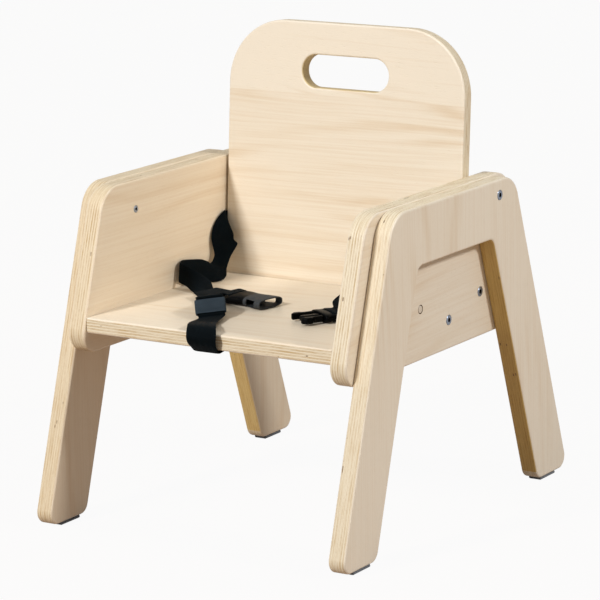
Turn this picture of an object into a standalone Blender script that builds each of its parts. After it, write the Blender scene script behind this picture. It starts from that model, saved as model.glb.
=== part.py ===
"""Toddler chair of flat plywood boards with a three-point webbing harness.

Metres, +Z up. The origin is on the floor under the centre of the chair, +Y runs from
the front of the seat to the back board, and +X is the sitter's left, the viewer's right
when the chair is seen from the front.

Two leg frames (an arch cut from one board each) stand outside two side panels. The seat
board and the back board sit between the panels. Socket screws hold the boards, and a
waist strap with a side-release buckle and a crotch strap are screwed to back and seat.
"""
import math

import bmesh
import bpy
from mathutils import Matrix, Vector

# Whole chair: the arms and the back rise from the seat, and the feet reach past it
SEAT_HEIGHT = 0.204
ARM_RISE = 0.120
BACK_RISE = 0.260
CLEAR_WIDTH = 0.275
FRONT_FOOT_REACH = 0.0411
REAR_FOOT_REACH = 0.1565
FIT_GAP = 0.0003
CUT_OVERRUN = 0.004
ARC_STEP_DEG = 12.0
FLAT_ANGLE = math.radians(0.5)

# Leg frames: each is one board with an arch between its front and rear leg
FRAME_THICKNESS = 0.018
FRONT_RAKE_DEG = 16.9
REAR_RAKE_DEG = 19.6
LEG_WIDTH = 0.0605
ARM_BAND = 0.057
FRAME_TOP_RADIUS = 0.030
FOOT_RADIUS = 0.012
ARCH_RADIUS = 0.010
FRAME_EDGE_ROUND = 0.0025

# Side panels: they stand inside the frames and reach past them at front and rear
PANEL_THICKNESS = 0.018
PANEL_DROP = 0.036
PANEL_FRONT_REACH = 0.0165
PANEL_REAR_REACH = 0.018
PANEL_TOP_RADIUS = 0.030
PANEL_BOTTOM_RADIUS = 0.020
PANEL_EDGE_ROUND = 0.002

# Seat board
SEAT_THICKNESS = 0.015
SEAT_DEPTH = 0.240
SEAT_EDGE_ROUND = 0.002

# Back board, which leans back and has a hand slot
BACK_THICKNESS = 0.015
BACK_LEAN_DEG = 3.9
BACK_TOP_RADIUS = 0.065
BACK_EDGE_ROUND = 0.002
HANDLE_WIDTH = 0.0994
HANDLE_HEIGHT = 0.033
HANDLE_DROP = 0.0487

# Foot pads
PAD_THICKNESS = 0.003
PAD_LENGTH = 0.031
PAD_INWARD = 0.007
PAD_WIDTH = 0.014
PAD_EDGE_ROUND = 0.0008

# Socket screws, given by head radius, head depth, shank radius, socket radius and depth
SCREW_HEAD_RADIUS = 0.0048
SCREW_HEAD_DEPTH = 0.003
SCREW_SHANK_RADIUS = 0.0032
SCREW_SOCKET_RADIUS = 0.0023
SCREW_SOCKET_DEPTH = 0.0022
SCREW_TIP_LENGTH = 0.003
SCREW_BITE = 0.032
SCREW_SIDES = 14
FRAME_SCREW_DROP = 0.015
BACK_SCREW_RISE = 0.009
SEAT_FRONT_SCREW_INSET = 0.038
SEAT_REAR_SCREW_INSET = 0.187
ARM_SCREW_HEAD_RADIUS = 0.0034
ARM_SCREW_SHANK_RADIUS = 0.0019
ARM_SCREW_BITE = 0.010
ARM_SCREW_DROP = 0.0287
ARM_SCREW_INSET = 0.044
PLUG_RADIUS = 0.004
PLUG_DEPTH = 0.006
PLUG_RISE = 0.0137
PLUG_INSET = 0.1323

# Webbing
WEBBING_WIDTH = 0.026
WEBBING_THICKNESS = 0.0013
WEBBING_CLEARANCE = 0.00035
LAYER_STEP = 0.0020
STRAP_RISE = 0.050
STRAP_ANCHOR_INSET = 0.0275
STRAP_END_LENGTH = 0.014
ROW_STEPS = 3

# Strap screws and washers
WASHER_RADIUS = 0.0075
WASHER_THICKNESS = 0.0012
PAN_HEAD_RADIUS = 0.0043
PAN_HEAD_HEIGHT = 0.0026
PAN_TOP_SHARE = 0.7
PAN_SHANK_RADIUS = 0.0020
PAN_BITE = 0.009
PAN_SOCKET_DEPTH = 0.0012

# Buckle
BUCKLE_WIDTH = 0.034
BUCKLE_CORNER_RADIUS = 0.006
BUCKLE_EDGE_ROUND = 0.0012
BUCKLE_BAR = 0.004
BUCKLE_SLOT = 0.0036
BUCKLE_STRAP_CLEARANCE = 0.0006
BUCKLE_TAIL = 0.006
FEMALE_LENGTH = 0.049
FEMALE_THICKNESS = 0.0102
FEMALE_WALL = 0.0016
FEMALE_CAVITY = 0.027
FEMALE_WINDOW_LENGTH = 0.013
FEMALE_WINDOW_INSET = 0.007
FEMALE_TURN_DEG = -11.0
MALE_LENGTH = 0.016
MALE_THICKNESS = 0.0095
MALE_TURN_DEG = 58.0
TONGUE_LENGTH = 0.020
TONGUE_WIDTH = 0.0075
TONGUE_THICKNESS = 0.005
PRONG_LENGTH = 0.023
PRONG_WIDTH = 0.0042
PRONG_THICKNESS = 0.0064
PRONG_BARB = 0.0026
PRONG_INSET = 0.0062
PRONG_BARB_SHARES = (0.42, 0.55, 0.82)

# Where the harness lies, as shares: x of half the clear width, y of the seat depth
# behind the front edge, z of the arm's rise over the seat, then the direction of the
# strap's width (x, y, z) and its seen width as a share of the webbing's width
FEMALE_MOUTH_PLACE_SHARES = (-0.028, 0.497)
MALE_SHOULDER_PLACE_SHARES = (0.480, 0.392)
LEFT_STRAP_SHARES = (
    (-0.929, 0.984, 0.442, -13.5, 4.5, 22, 1.00),
    (-0.926, 0.952, 0.383, -15, -7, 16, 1.00),
    (-0.914, 0.938, 0.308, -19, -20, 8, 1.08),
    (-0.902, 0.934, 0.225, -15, -17, -5, 0.92),
    (-0.904, 0.907, 0.163, -10, -13, -2, 0.75),
    (-0.898, 0.876, 0.112, -8, -8, 4, 0.70),
    (-0.880, 0.853, 0.092, -13, -6, 11, 0.85),
    (-0.876, 0.822, 0.090, -15, -2, 18, 0.95),
    (-0.902, 0.780, 0.102, -11, 2, 22, 0.97),
    (-0.942, 0.726, 0.115, -6, 3, 22, 0.93),
    (-0.971, 0.680, 0.129, -2, 3, 22, 0.88),
    (-0.977, 0.655, 0.133, -0.3, 3, 21, 0.82),
    (-0.953, 0.636, 0.129, 1, 1, 18, 0.75),
    (-0.880, 0.626, 0.113, 0, 4, 16, 0.75),
    (-0.800, 0.613, 0.083, 0, 10, 14, 0.80),
    (-0.705, 0.595, 0.055, 0, 19, 8, 0.95),
)
RIGHT_STRAP_SHARES = (
    (0.06, 0.12, 0.03),
    (0.16, 0.31, 0.08),
    (0.30, 0.52, 0.25),
    (0.50, 0.78, 0.8),
    (0.75, 0.96, 2.6),
)
CROTCH_STRAP_SHARES = (
    (-0.022, -0.012, 0.060, 1, 0.2, 0, 1.12),
    (-0.087, 0.051, 0.053, 1, 0.4, 0, 1.02),
    (-0.145, 0.109, 0.030, 0.9, 0.46, 0, 1.00),
    (-0.430, 0.426, 0.048, 0.94, 0.20, 0, 1.00),
)
# How many rows of the crotch strap lie before its keeper, and the keeper itself
KEEPER_ROW = 3
KEEPER_PLACE_SHARES = (-0.246, 0.246, 0.090)
KEEPER_TURN_DEG = 128.0
KEEPER_TILT_DEG = 34.0
KEEPER_ROLL_DEG = 7.0
KEEPER_LENGTH = 0.018
KEEPER_SIDE_GAP = 0.0006
KEEPER_RADIUS = 0.0018
KEEPER_STRAIGHT_SHARES = (-0.78, -0.52, 0, 0.52, 0.78)
CROTCH_EDGE_SHARES = (
    (-0.02, -0.10, 0.02, 1.02),
    (0.60, 0.25, 0.12, 1.05),
    (0.95, 0.60, 0.22, 1.10),
    (1.0, 1.05, 0.26, 1.14),
)
CROTCH_BULGE = 0.0105
CROTCH_FRONT_SHARE = 0.010
CROTCH_ANCHOR_PLACE_SHARES = (0.073, 0.205)
CROTCH_CROSSING = 0.028
CROTCH_OVERLAP = 0.004
# Layers of webbing over the seat where the crotch strap's loop goes round the hip strap,
# heights in layer steps: the hip strap by its place along the loop, then the loop itself
HIP_CROSSING_SHARES = ((-0.5, 1.2), (0.0, 1.1), (0.5, 1.1))
LOOP_TOP_SHARE = 2.5
LOOP_BASE_SHARE = 0.1
LOOP_TURNS_DEG = (90, 60, 30, 0, -30, -60, -90)

PLY = (0.80, 0.66, 0.48)
PLY_WARM = (0.74, 0.56, 0.38)
ZINC = (0.55, 0.58, 0.62)
BLACK_WEB = (0.015, 0.016, 0.020)
BLACK_PLASTIC = (0.012, 0.014, 0.017)
DARK_PAD = (0.06, 0.055, 0.05)

HALF_CLEAR = CLEAR_WIDTH / 2
PANEL_OUTER = HALF_CLEAR + PANEL_THICKNESS
FRAME_INNER = PANEL_OUTER + FIT_GAP
FRAME_OUTER = FRAME_INNER + FRAME_THICKNESS
LEG_BOTTOM = PAD_THICKNESS + FIT_GAP
CHAIR_DEPTH = FRONT_FOOT_REACH + SEAT_DEPTH + REAR_FOOT_REACH
ARM_HEIGHT = SEAT_HEIGHT + ARM_RISE
BACK_HEIGHT = SEAT_HEIGHT + BACK_RISE
ARCH_HEIGHT = ARM_HEIGHT - ARM_BAND
PANEL_BOTTOM = SEAT_HEIGHT - PANEL_DROP
SEAT_FRONT = FRONT_FOOT_REACH - CHAIR_DEPTH / 2
SEAT_MIDDLE = SEAT_HEIGHT - SEAT_THICKNESS / 2
BACK_LEAN = math.radians(BACK_LEAN_DEG)
BACK_LINE = SEAT_FRONT + SEAT_DEPTH + FIT_GAP + SEAT_THICKNESS * math.tan(BACK_LEAN)
BACK_BOTTOM = SEAT_HEIGHT - SEAT_THICKNESS
BACK_UP = Vector((0, math.sin(BACK_LEAN), math.cos(BACK_LEAN)))
BACK_REARWARD = Vector((0, math.cos(BACK_LEAN), -math.sin(BACK_LEAN)))
STRAP_GAP = WEBBING_THICKNESS + 2 * WEBBING_CLEARANCE
BACK_HALF_WIDTH = HALF_CLEAR - STRAP_GAP
STRAP_PLANE = HALF_CLEAR - STRAP_GAP / 2
STRAP_HEIGHT = SEAT_HEIGHT + STRAP_RISE
SEAT_LAYER = SEAT_HEIGHT + FIT_GAP + WEBBING_THICKNESS / 2


def rake_line(rake_deg, end_radius):
    """Height-to-reach function of a frame's outer edge, measured from its foot's end."""
    rake = math.radians(rake_deg)
    drop = (LEG_BOTTOM + end_radius) * math.tan(rake)
    round_off = end_radius / math.cos(rake) - end_radius
    reach = CHAIR_DEPTH / 2 + drop + round_off

    def at(height):
        return reach - height * math.tan(rake)

    return at


front_reach = rake_line(FRONT_RAKE_DEG, FOOT_RADIUS)
rear_reach = rake_line(REAR_RAKE_DEG, FOOT_RADIUS)


def fillet(corner, before, after, radius):
    """Points of the arc that rounds one corner of an outline."""
    to_before = (before - corner).normalized()
    to_after = (after - corner).normalized()
    half = to_before.angle(to_after) / 2
    run = radius / math.tan(half)
    run = min(run, (before - corner).length / 2, (after - corner).length / 2)
    radius = run * math.tan(half)
    centre = corner + (to_before + to_after).normalized() * (radius / math.sin(half))
    first = corner + to_before * run - centre
    turn = math.pi - 2 * half
    steps = max(1, round(math.degrees(turn) / ARC_STEP_DEG))
    sign = 1 if first.cross(corner + to_after * run - centre) > 0 else -1
    points = []
    for step in range(steps + 1):
        angle = sign * turn * step / steps
        cos, sin = math.cos(angle), math.sin(angle)
        points.append(centre + Vector((first.x * cos - first.y * sin, first.x * sin + first.y * cos)))
    return points


def rounded(corners):
    """A closed outline from (u, v, radius) corners."""
    points = []
    count = len(corners)
    for index, (u, v, radius) in enumerate(corners):
        corner = Vector((u, v))
        before = Vector(corners[index - 1][:2])
        after = Vector(corners[(index + 1) % count][:2])
        if radius:
            points.extend(fillet(corner, before, after, radius))
        else:
            points.append(corner)
    return points


def material(name, colour, roughness, metallic=0.0):
    made = bpy.data.materials.new(name)
    made.use_nodes = True
    shader = made.node_tree.nodes["Principled BSDF"]
    shader.inputs["Base Color"].default_value = (*colour, 1.0)
    shader.inputs["Roughness"].default_value = roughness
    shader.inputs["Metallic"].default_value = metallic
    made.diffuse_color = (*colour, 1.0)
    return made


def new_collection(name):
    made = bpy.data.collections.new(name)
    bpy.context.scene.collection.children.link(made)
    return made


def finish_part(obj, colour, roughness, metallic=0.0):
    obj.data.materials.clear()
    obj.data.materials.append(material(obj.name, colour, roughness, metallic))
    return obj


def hide_cutter(obj):
    obj.hide_render = True
    obj.display_type = "WIRE"
    return obj


def link_mesh(name, mesh, collection):
    obj = bpy.data.objects.new(name, mesh)
    collection.objects.link(obj)
    return obj


def solid_from_curve(curve_object, collection):
    """Swap a filled curve for a mesh object of the same shape and place."""
    depsgraph = bpy.context.evaluated_depsgraph_get()
    mesh = bpy.data.meshes.new_from_object(curve_object.evaluated_get(depsgraph))
    shell = bmesh.new()
    shell.from_mesh(mesh)
    bmesh.ops.remove_doubles(shell, verts=shell.verts, dist=FIT_GAP / 100)
    bmesh.ops.recalc_face_normals(shell, faces=shell.faces)
    bmesh.ops.dissolve_limit(shell, angle_limit=FLAT_ANGLE, verts=[], edges=shell.edges)
    shell.to_mesh(mesh)
    shell.free()
    name = curve_object.name
    world = curve_object.matrix_world.copy()
    bpy.data.objects.remove(curve_object)
    obj = link_mesh(name, mesh, collection)
    obj.name = name
    obj.matrix_world = world
    return obj


def flat_board(name, outlines, thickness, collection, place):
    """A board cut to one outline, with any further outlines as holes through it."""
    curve = bpy.data.curves.new(name, "CURVE")
    curve.dimensions = "2D"
    curve.fill_mode = "BOTH"
    curve.extrude = thickness / 2
    for outline in outlines:
        spline = curve.splines.new("POLY")
        spline.points.add(len(outline) - 1)
        for point, place_2d in zip(spline.points, outline):
            point.co = (place_2d.x, place_2d.y, 0, 1)
        spline.use_cyclic_u = True
    curve_object = bpy.data.objects.new(name, curve)
    collection.objects.link(curve_object)
    curve_object.matrix_world = place
    bpy.context.view_layer.update()
    return solid_from_curve(curve_object, collection)


def round_edges(obj, width, segments=2):
    bevel = obj.modifiers.new("rounded edges", "BEVEL")
    bevel.width = width
    bevel.segments = segments
    bevel.limit_method = "ANGLE"
    bevel.angle_limit = math.radians(50)
    bevel.use_clamp_overlap = False
    return bevel


def cut(obj, cutter):
    boolean = obj.modifiers.new(cutter.name, "BOOLEAN")
    boolean.operation = "DIFFERENCE"
    boolean.solver = "EXACT"
    boolean.object = cutter


def turned(name, profile, sides, collection, ring=False):
    """A profile in the XZ plane, run down its outer side, turned about Z."""
    mesh = bpy.data.meshes.new(name)
    edges = [(index, index + 1) for index in range(len(profile) - 1)]
    if ring:
        edges.append((len(profile) - 1, 0))
    mesh.from_pydata([(radius, 0, height) for radius, height in profile], edges, [])
    obj = link_mesh(name, mesh, collection)
    screw = obj.modifiers.new("turned", "SCREW")
    screw.steps = sides
    screw.render_steps = sides
    screw.use_merge_vertices = True
    screw.merge_threshold = FIT_GAP / 100
    screw.use_smooth_shade = True
    return obj


def box(name, size, centre, place, collection):
    """A box given in the axes of the matrix place."""
    shell = bmesh.new()
    bmesh.ops.create_cube(shell, size=1)
    bmesh.ops.scale(shell, vec=size, verts=shell.verts)
    bmesh.ops.translate(shell, vec=centre, verts=shell.verts)
    mesh = bpy.data.meshes.new(name)
    shell.to_mesh(mesh)
    shell.free()
    obj = link_mesh(name, mesh, collection)
    obj.matrix_world = place
    return obj


def aimed(position, direction):
    """A matrix at position whose +Z points along direction."""
    turn = Vector((0, 0, 1)).rotation_difference(Vector(direction)).to_matrix().to_4x4()
    return Matrix.Translation(position) @ turn


def side_plane(x):
    """Outline axes u, v to world Y, Z at the plane of x."""
    turn = Matrix(((0, 0, 1, 0), (1, 0, 0, 0), (0, 1, 0, 0), (0, 0, 0, 1)))
    return Matrix.Translation((x, 0, 0)) @ turn


def frame_outline():
    front_width = LEG_WIDTH / math.cos(math.radians(FRONT_RAKE_DEG))
    rear_width = LEG_WIDTH / math.cos(math.radians(REAR_RAKE_DEG))
    return rounded((
        (-front_reach(LEG_BOTTOM), LEG_BOTTOM, FOOT_RADIUS),
        (-front_reach(LEG_BOTTOM) + front_width, LEG_BOTTOM, FOOT_RADIUS),
        (-front_reach(ARCH_HEIGHT) + front_width, ARCH_HEIGHT, ARCH_RADIUS),
        (rear_reach(ARCH_HEIGHT) - rear_width, ARCH_HEIGHT, ARCH_RADIUS),
        (rear_reach(LEG_BOTTOM) - rear_width, LEG_BOTTOM, FOOT_RADIUS),
        (rear_reach(LEG_BOTTOM), LEG_BOTTOM, FOOT_RADIUS),
        (rear_reach(ARM_HEIGHT), ARM_HEIGHT, FRAME_TOP_RADIUS),
        (-front_reach(ARM_HEIGHT), ARM_HEIGHT, FRAME_TOP_RADIUS),
    ))


def panel_outline():
    return rounded((
        (-front_reach(PANEL_BOTTOM) - PANEL_FRONT_REACH, PANEL_BOTTOM, PANEL_BOTTOM_RADIUS),
        (rear_reach(PANEL_BOTTOM) + PANEL_REAR_REACH, PANEL_BOTTOM, PANEL_BOTTOM_RADIUS),
        (rear_reach(ARM_HEIGHT) + PANEL_REAR_REACH, ARM_HEIGHT, PANEL_TOP_RADIUS),
        (-front_reach(ARM_HEIGHT) - PANEL_FRONT_REACH, ARM_HEIGHT, PANEL_TOP_RADIUS),
    ))


def seat_outline():
    rear = SEAT_FRONT + SEAT_DEPTH
    return rounded((
        (SEAT_FRONT, BACK_BOTTOM, SEAT_EDGE_ROUND),
        (rear, BACK_BOTTOM, 0),
        (rear, SEAT_HEIGHT, 0),
        (SEAT_FRONT, SEAT_HEIGHT, SEAT_EDGE_ROUND),
    ))


def back_point(x, height, depth):
    """A point at a height over the floor, depth behind the back board's front face."""
    rise = height - SEAT_HEIGHT
    return Vector((x, BACK_LINE + rise * math.tan(BACK_LEAN), height)) + BACK_REARWARD * depth


def back_outlines():
    tall = (BACK_HEIGHT - BACK_BOTTOM) / math.cos(BACK_LEAN)
    half = BACK_HALF_WIDTH
    board = rounded((
        (-half, 0, 0),
        (half, 0, 0),
        (half, tall, BACK_TOP_RADIUS),
        (-half, tall, BACK_TOP_RADIUS),
    ))
    middle = tall - HANDLE_DROP
    end = HANDLE_HEIGHT / 2
    slot = rounded((
        (-HANDLE_WIDTH / 2, middle - end, end),
        (HANDLE_WIDTH / 2, middle - end, end),
        (HANDLE_WIDTH / 2, middle + end, end),
        (-HANDLE_WIDTH / 2, middle + end, end),
    ))
    return board, slot


def back_place():
    origin = back_point(0, BACK_BOTTOM, BACK_THICKNESS / 2)
    across = Vector((1, 0, 0))
    columns = Matrix((across, BACK_UP, -BACK_REARWARD)).transposed().to_4x4()
    return Matrix.Translation(origin) @ columns


def screw_profile(head_radius, head_depth, shank_radius, length, socket_radius, socket_depth):
    """Countersunk screw: top face at z 0, shank below, a round seat for the key."""
    return (
        (0, -socket_depth),
        (socket_radius, -socket_depth),
        (socket_radius, 0),
        (head_radius, 0),
        (shank_radius, -head_depth),
        (shank_radius, -length + SCREW_TIP_LENGTH),
        (0, -length),
    )


def hole_profile(head_radius, head_depth, shank_radius, length):
    """The hole for such a screw, one fit gap larger all round and open at its head."""
    return (
        (0, CUT_OVERRUN),
        (head_radius + FIT_GAP, CUT_OVERRUN),
        (head_radius + FIT_GAP, -FIT_GAP),
        (shank_radius + FIT_GAP, -head_depth - FIT_GAP),
        (shank_radius + FIT_GAP, -length - FIT_GAP),
        (0, -length - FIT_GAP),
    )


def add_screw(name, position, outward, length, boards, collections, small=False):
    """A countersunk screw whose head is flush at position, and its holes in the boards."""
    head = ARM_SCREW_HEAD_RADIUS if small else SCREW_HEAD_RADIUS
    shank = ARM_SCREW_SHANK_RADIUS if small else SCREW_SHANK_RADIUS
    share = head / SCREW_HEAD_RADIUS
    depth = SCREW_HEAD_DEPTH * share
    socket = SCREW_SOCKET_RADIUS * share
    socket_depth = SCREW_SOCKET_DEPTH * share
    place = aimed(position, outward)
    profile = screw_profile(head, depth, shank, length, socket, socket_depth)
    screw = turned(name, profile, SCREW_SIDES, collections[0])
    screw.matrix_world = place
    finish_part(screw, ZINC, 0.35, 0.9)
    hole = turned(name + "_hole", hole_profile(head, depth, shank, length), SCREW_SIDES, collections[1])
    hole.matrix_world = place
    hide_cutter(hole)
    for board in boards:
        cut(board, hole)
    return screw


def add_plug(name, side, panel, collections):
    place = aimed((side * PANEL_OUTER, SEAT_FRONT + PLUG_INSET, SEAT_HEIGHT + PLUG_RISE), (side, 0, 0))
    profile = ((0, 0), (PLUG_RADIUS, 0), (PLUG_RADIUS, -PLUG_DEPTH), (0, -PLUG_DEPTH))
    plug = turned(name, profile, SCREW_SIDES, collections[0])
    plug.matrix_world = place
    finish_part(plug, PLY_WARM, 0.6)
    hole = turned(name + "_hole", hole_profile(PLUG_RADIUS, 0, PLUG_RADIUS, PLUG_DEPTH), SCREW_SIDES,
                  collections[1])
    hole.matrix_world = place
    hide_cutter(hole)
    cut(panel, hole)


def smooth_rows(rows):
    """Extra rows between the given ones, on a Catmull-Rom curve through them."""
    result = []
    for index in range(len(rows) - 1):
        before = rows[max(index - 1, 0)]
        start = rows[index]
        end = rows[index + 1]
        after = rows[min(index + 2, len(rows) - 1)]
        for step in range(ROW_STEPS):
            t = step / ROW_STEPS
            row = []
            for part in range(2):
                p0, p1, p2, p3 = before[part], start[part], end[part], after[part]
                row.append(0.5 * (2 * p1 + (p2 - p0) * t + (2 * p0 - 5 * p1 + 4 * p2 - p3) * t * t
                                  + (3 * p1 - p0 - 3 * p2 + p3) * t * t * t))
            result.append(tuple(row))
    result.append(rows[-1])
    return result


def edge_pair(centre, direction, width_share=1.0):
    half = Vector(direction).normalized() * (WEBBING_WIDTH * width_share / 2)
    return Vector(centre) + half, Vector(centre) - half


def ribbon(name, rows, collection):
    """Webbing through rows of edge pairs, thickened to both sides."""
    mesh = bpy.data.meshes.new(name)
    verts = [point for row in rows for point in row]
    faces = [(2 * i, 2 * i + 1, 2 * i + 3, 2 * i + 2) for i in range(len(rows) - 1)]
    mesh.from_pydata(verts, [], faces)
    obj = link_mesh(name, mesh, collection)
    solidify = obj.modifiers.new("thickness", "SOLIDIFY")
    solidify.thickness = WEBBING_THICKNESS
    solidify.offset = 0
    solidify.use_even_offset = False
    finish_part(obj, BLACK_WEB, 0.8)
    return obj


def rear_rows(side):
    """A hip strap from its screw behind the back board, round the edge and through the gap."""
    off = WEBBING_CLEARANCE + WEBBING_THICKNESS / 2
    rear = BACK_THICKNESS + off
    anchor = BACK_HALF_WIDTH - STRAP_ANCHOR_INSET
    bend_x = BACK_HALF_WIDTH - BACK_EDGE_ROUND
    bend_depth = BACK_THICKNESS - BACK_EDGE_ROUND
    reach = BACK_EDGE_ROUND + off
    places = [(anchor - STRAP_END_LENGTH, rear), (anchor, rear), (anchor + STRAP_END_LENGTH, rear)]
    for turn in (90, 65, 40, 20, 0):
        angle = math.radians(turn)
        places.append((bend_x + reach * math.cos(angle), bend_depth + reach * math.sin(angle)))
    places.append((STRAP_PLANE, BACK_THICKNESS / 2))
    places.append((STRAP_PLANE, 0))
    places.append((STRAP_PLANE, -2 * WEBBING_THICKNESS))
    return [edge_pair(back_point(side * x, STRAP_HEIGHT, depth), BACK_UP) for x, depth in places]


def seat_place(x_share, y_share, z_share):
    """A point over the seat from shares of the seat's own sizes."""
    y = SEAT_FRONT + y_share * SEAT_DEPTH
    return Vector((x_share * HALF_CLEAR, y, SEAT_HEIGHT + z_share * ARM_RISE))


def buckle_place(place_shares, turn_deg):
    """Buckle axes: +X out of the mouth or from the shoulder to the strap, Z 0 underneath."""
    point = seat_place(place_shares[0], place_shares[1], 0)
    point.z += FIT_GAP
    return Matrix.Translation(point) @ Matrix.Rotation(math.radians(turn_deg), 4, "Z")


def bar_rows(place, bar_x, thickness, strapward):
    """Webbing round a buckle's bar, from over the bar down the slot and back below it.

    strapward is -1 or 1, the side of the bar along the buckle's X that the strap leaves.
    """
    rise = thickness / 2
    off = WEBBING_CLEARANCE + WEBBING_THICKNESS / 2
    half_bar = BUCKLE_BAR / 2
    half_high = bar_half_height(thickness)
    top = half_high + off
    side = half_bar + off
    path = (
        (half_bar + BUCKLE_TAIL, top),
        (0, top),
        (-half_bar + off / 2, top),
        (-side + off / 2, top - off / 3),
        (-side, half_high / 2),
        (-side, -half_high / 2),
        (-side + off / 2, -top + off / 3),
        (-half_bar + off / 2, -top),
        (0, -top),
        (half_bar + BUCKLE_TAIL, -top),
    )
    rows = []
    across = place.to_3x3() @ Vector((0, 1, 0))
    for along, high in path:
        centre = place @ Vector((bar_x + strapward * along, 0, rise + high))
        rows.append(edge_pair(centre, across))
    return rows


def bar_half_height(thickness):
    return thickness / 2 - WEBBING_THICKNESS - 2 * WEBBING_CLEARANCE


def left_strap_rows(female_place):
    behind = rear_rows(-1)
    rows = behind[-1:]
    for x, y, z, dx, dy, dz, width in LEFT_STRAP_SHARES:
        rows.append(edge_pair(seat_place(x, y, z), (dx, dy, dz), width))
    along = female_place.to_3x3() @ Vector((1, 0, 0))
    across = female_place.to_3x3() @ Vector((0, 1, 0))
    crossing = crossing_point(female_place)
    for share, level in HIP_CROSSING_SHARES:
        centre = crossing + along * (share * WEBBING_WIDTH)
        centre.z = SEAT_LAYER + level * LAYER_STEP
        rows.append(edge_pair(centre, across))
    rows += bar_rows(female_place, female_bar_x(), FEMALE_THICKNESS, -1)
    return behind[:-1] + smooth_rows(rows)


def female_bar_x():
    return -FEMALE_LENGTH + BUCKLE_BAR / 2


def crossing_point(female_place):
    """Where the crotch strap's loop goes round the left hip strap."""
    return female_place @ Vector((female_bar_x() - CROTCH_CROSSING, 0, 0))


def right_strap_rows(male_place):
    behind = rear_rows(1)
    rows = behind[-1:]
    bar = male_place @ Vector((male_bar_x(), 0, MALE_THICKNESS))
    corner = back_point(STRAP_PLANE, STRAP_HEIGHT, -WEBBING_WIDTH / 3)
    across = male_place.to_3x3() @ Vector((0, 1, 0))
    for along, rise, tilt in reversed(RIGHT_STRAP_SHARES):
        centre = bar.lerp(corner, along)
        centre.z = bar.z + (corner.z - bar.z) * rise
        rows.append(edge_pair(centre, across + Vector((0, 0, tilt))))
    rows += bar_rows(male_place, male_bar_x(), MALE_THICKNESS, 1)
    return behind[:-1] + smooth_rows(rows)


def male_bar_x():
    return MALE_LENGTH - BUCKLE_BAR / 2


def crotch_strap_rows(female_place):
    """From the screw under the seat, round the front edge and back over the seat."""
    under = SEAT_HEIGHT - SEAT_THICKNESS - FIT_GAP - WEBBING_THICKNESS / 2
    screw = seat_place(*CROTCH_ANCHOR_PLACE_SHARES, 0)
    screw.z = under
    front = Vector((CROTCH_FRONT_SHARE * HALF_CLEAR, SEAT_FRONT, under))
    heading = (screw - front).normalized()
    sideways = Vector((-heading.y, heading.x, 0))
    if sideways.x < 0:
        sideways.negate()
    rows = []
    for along in (STRAP_END_LENGTH, 0, -STRAP_END_LENGTH):
        rows.append(edge_pair(screw + heading * along, sideways))
    rows.append(edge_pair(front + heading * WEBBING_WIDTH / 2, sideways))
    for out, up, skew, width in CROTCH_EDGE_SHARES:
        centre = Vector((front.x, SEAT_FRONT - out * CROTCH_BULGE - FIT_GAP, under + up * SEAT_THICKNESS))
        rows.append(edge_pair(centre, (1, skew, 0), width))
    over_seat = [edge_pair(seat_place(*row[:3]), row[3:6], row[6]) for row in CROTCH_STRAP_SHARES]
    keeper = keeper_place()
    straight = []
    for share in KEEPER_STRAIGHT_SHARES:
        centre = keeper @ Vector((share * KEEPER_LENGTH, 0, 0))
        straight.append(edge_pair(centre, keeper.to_3x3() @ Vector((0, -1, 0))))
    rows += over_seat[:KEEPER_ROW] + straight + over_seat[KEEPER_ROW:]
    along = female_place.to_3x3() @ Vector((1, 0, 0))
    across = female_place.to_3x3() @ Vector((0, 1, 0))
    crossing = crossing_point(female_place)
    half = WEBBING_WIDTH / 2
    middle = (LOOP_TOP_SHARE + LOOP_BASE_SHARE) / 2
    radius_share = (LOOP_TOP_SHARE - LOOP_BASE_SHARE) / 2
    path = [(-half - CROTCH_OVERLAP, LOOP_TOP_SHARE), (-half, LOOP_TOP_SHARE)]
    for turn in LOOP_TURNS_DEG:
        angle = math.radians(turn)
        offset = half + radius_share * LAYER_STEP * math.cos(angle)
        path.append((offset, middle + radius_share * math.sin(angle)))
    path.append((-half, LOOP_BASE_SHARE))
    loop = []
    for offset, level in path:
        centre = crossing + across * offset
        centre.z = SEAT_LAYER + level * LAYER_STEP
        loop.append(edge_pair(centre, along))
    return smooth_rows(rows + loop[:2]) + loop[2:]


def keeper_place():
    """Keeper axes: +X up along the crotch strap, Y across it, Z 0 in the middle of the webbing."""
    turn = Matrix.Rotation(math.radians(KEEPER_TURN_DEG), 4, "Z")
    tilt = Matrix.Rotation(math.radians(-KEEPER_TILT_DEG), 4, "Y")
    roll = Matrix.Rotation(math.radians(-KEEPER_ROLL_DEG), 4, "X")
    return Matrix.Translation(seat_place(*KEEPER_PLACE_SHARES)) @ turn @ tilt @ roll


def make_keeper(collection):
    """A sewn loop of webbing round the crotch strap."""
    wide = WEBBING_WIDTH / 2 + KEEPER_SIDE_GAP
    high = WEBBING_THICKNESS / 2 + WEBBING_CLEARANCE
    outlines = []
    for grow, radius in ((WEBBING_THICKNESS, KEEPER_RADIUS), (0, WEBBING_CLEARANCE)):
        u, v = wide + grow, high + grow
        outlines.append(rounded(((-u, -v, radius), (u, -v, radius), (u, v, radius), (-u, v, radius))))
    place = keeper_place() @ side_plane(0)
    keeper = flat_board("crotch_strap_keeper", outlines, KEEPER_LENGTH, collection, place)
    return finish_part(keeper, BLACK_WEB, 0.8)


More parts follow.
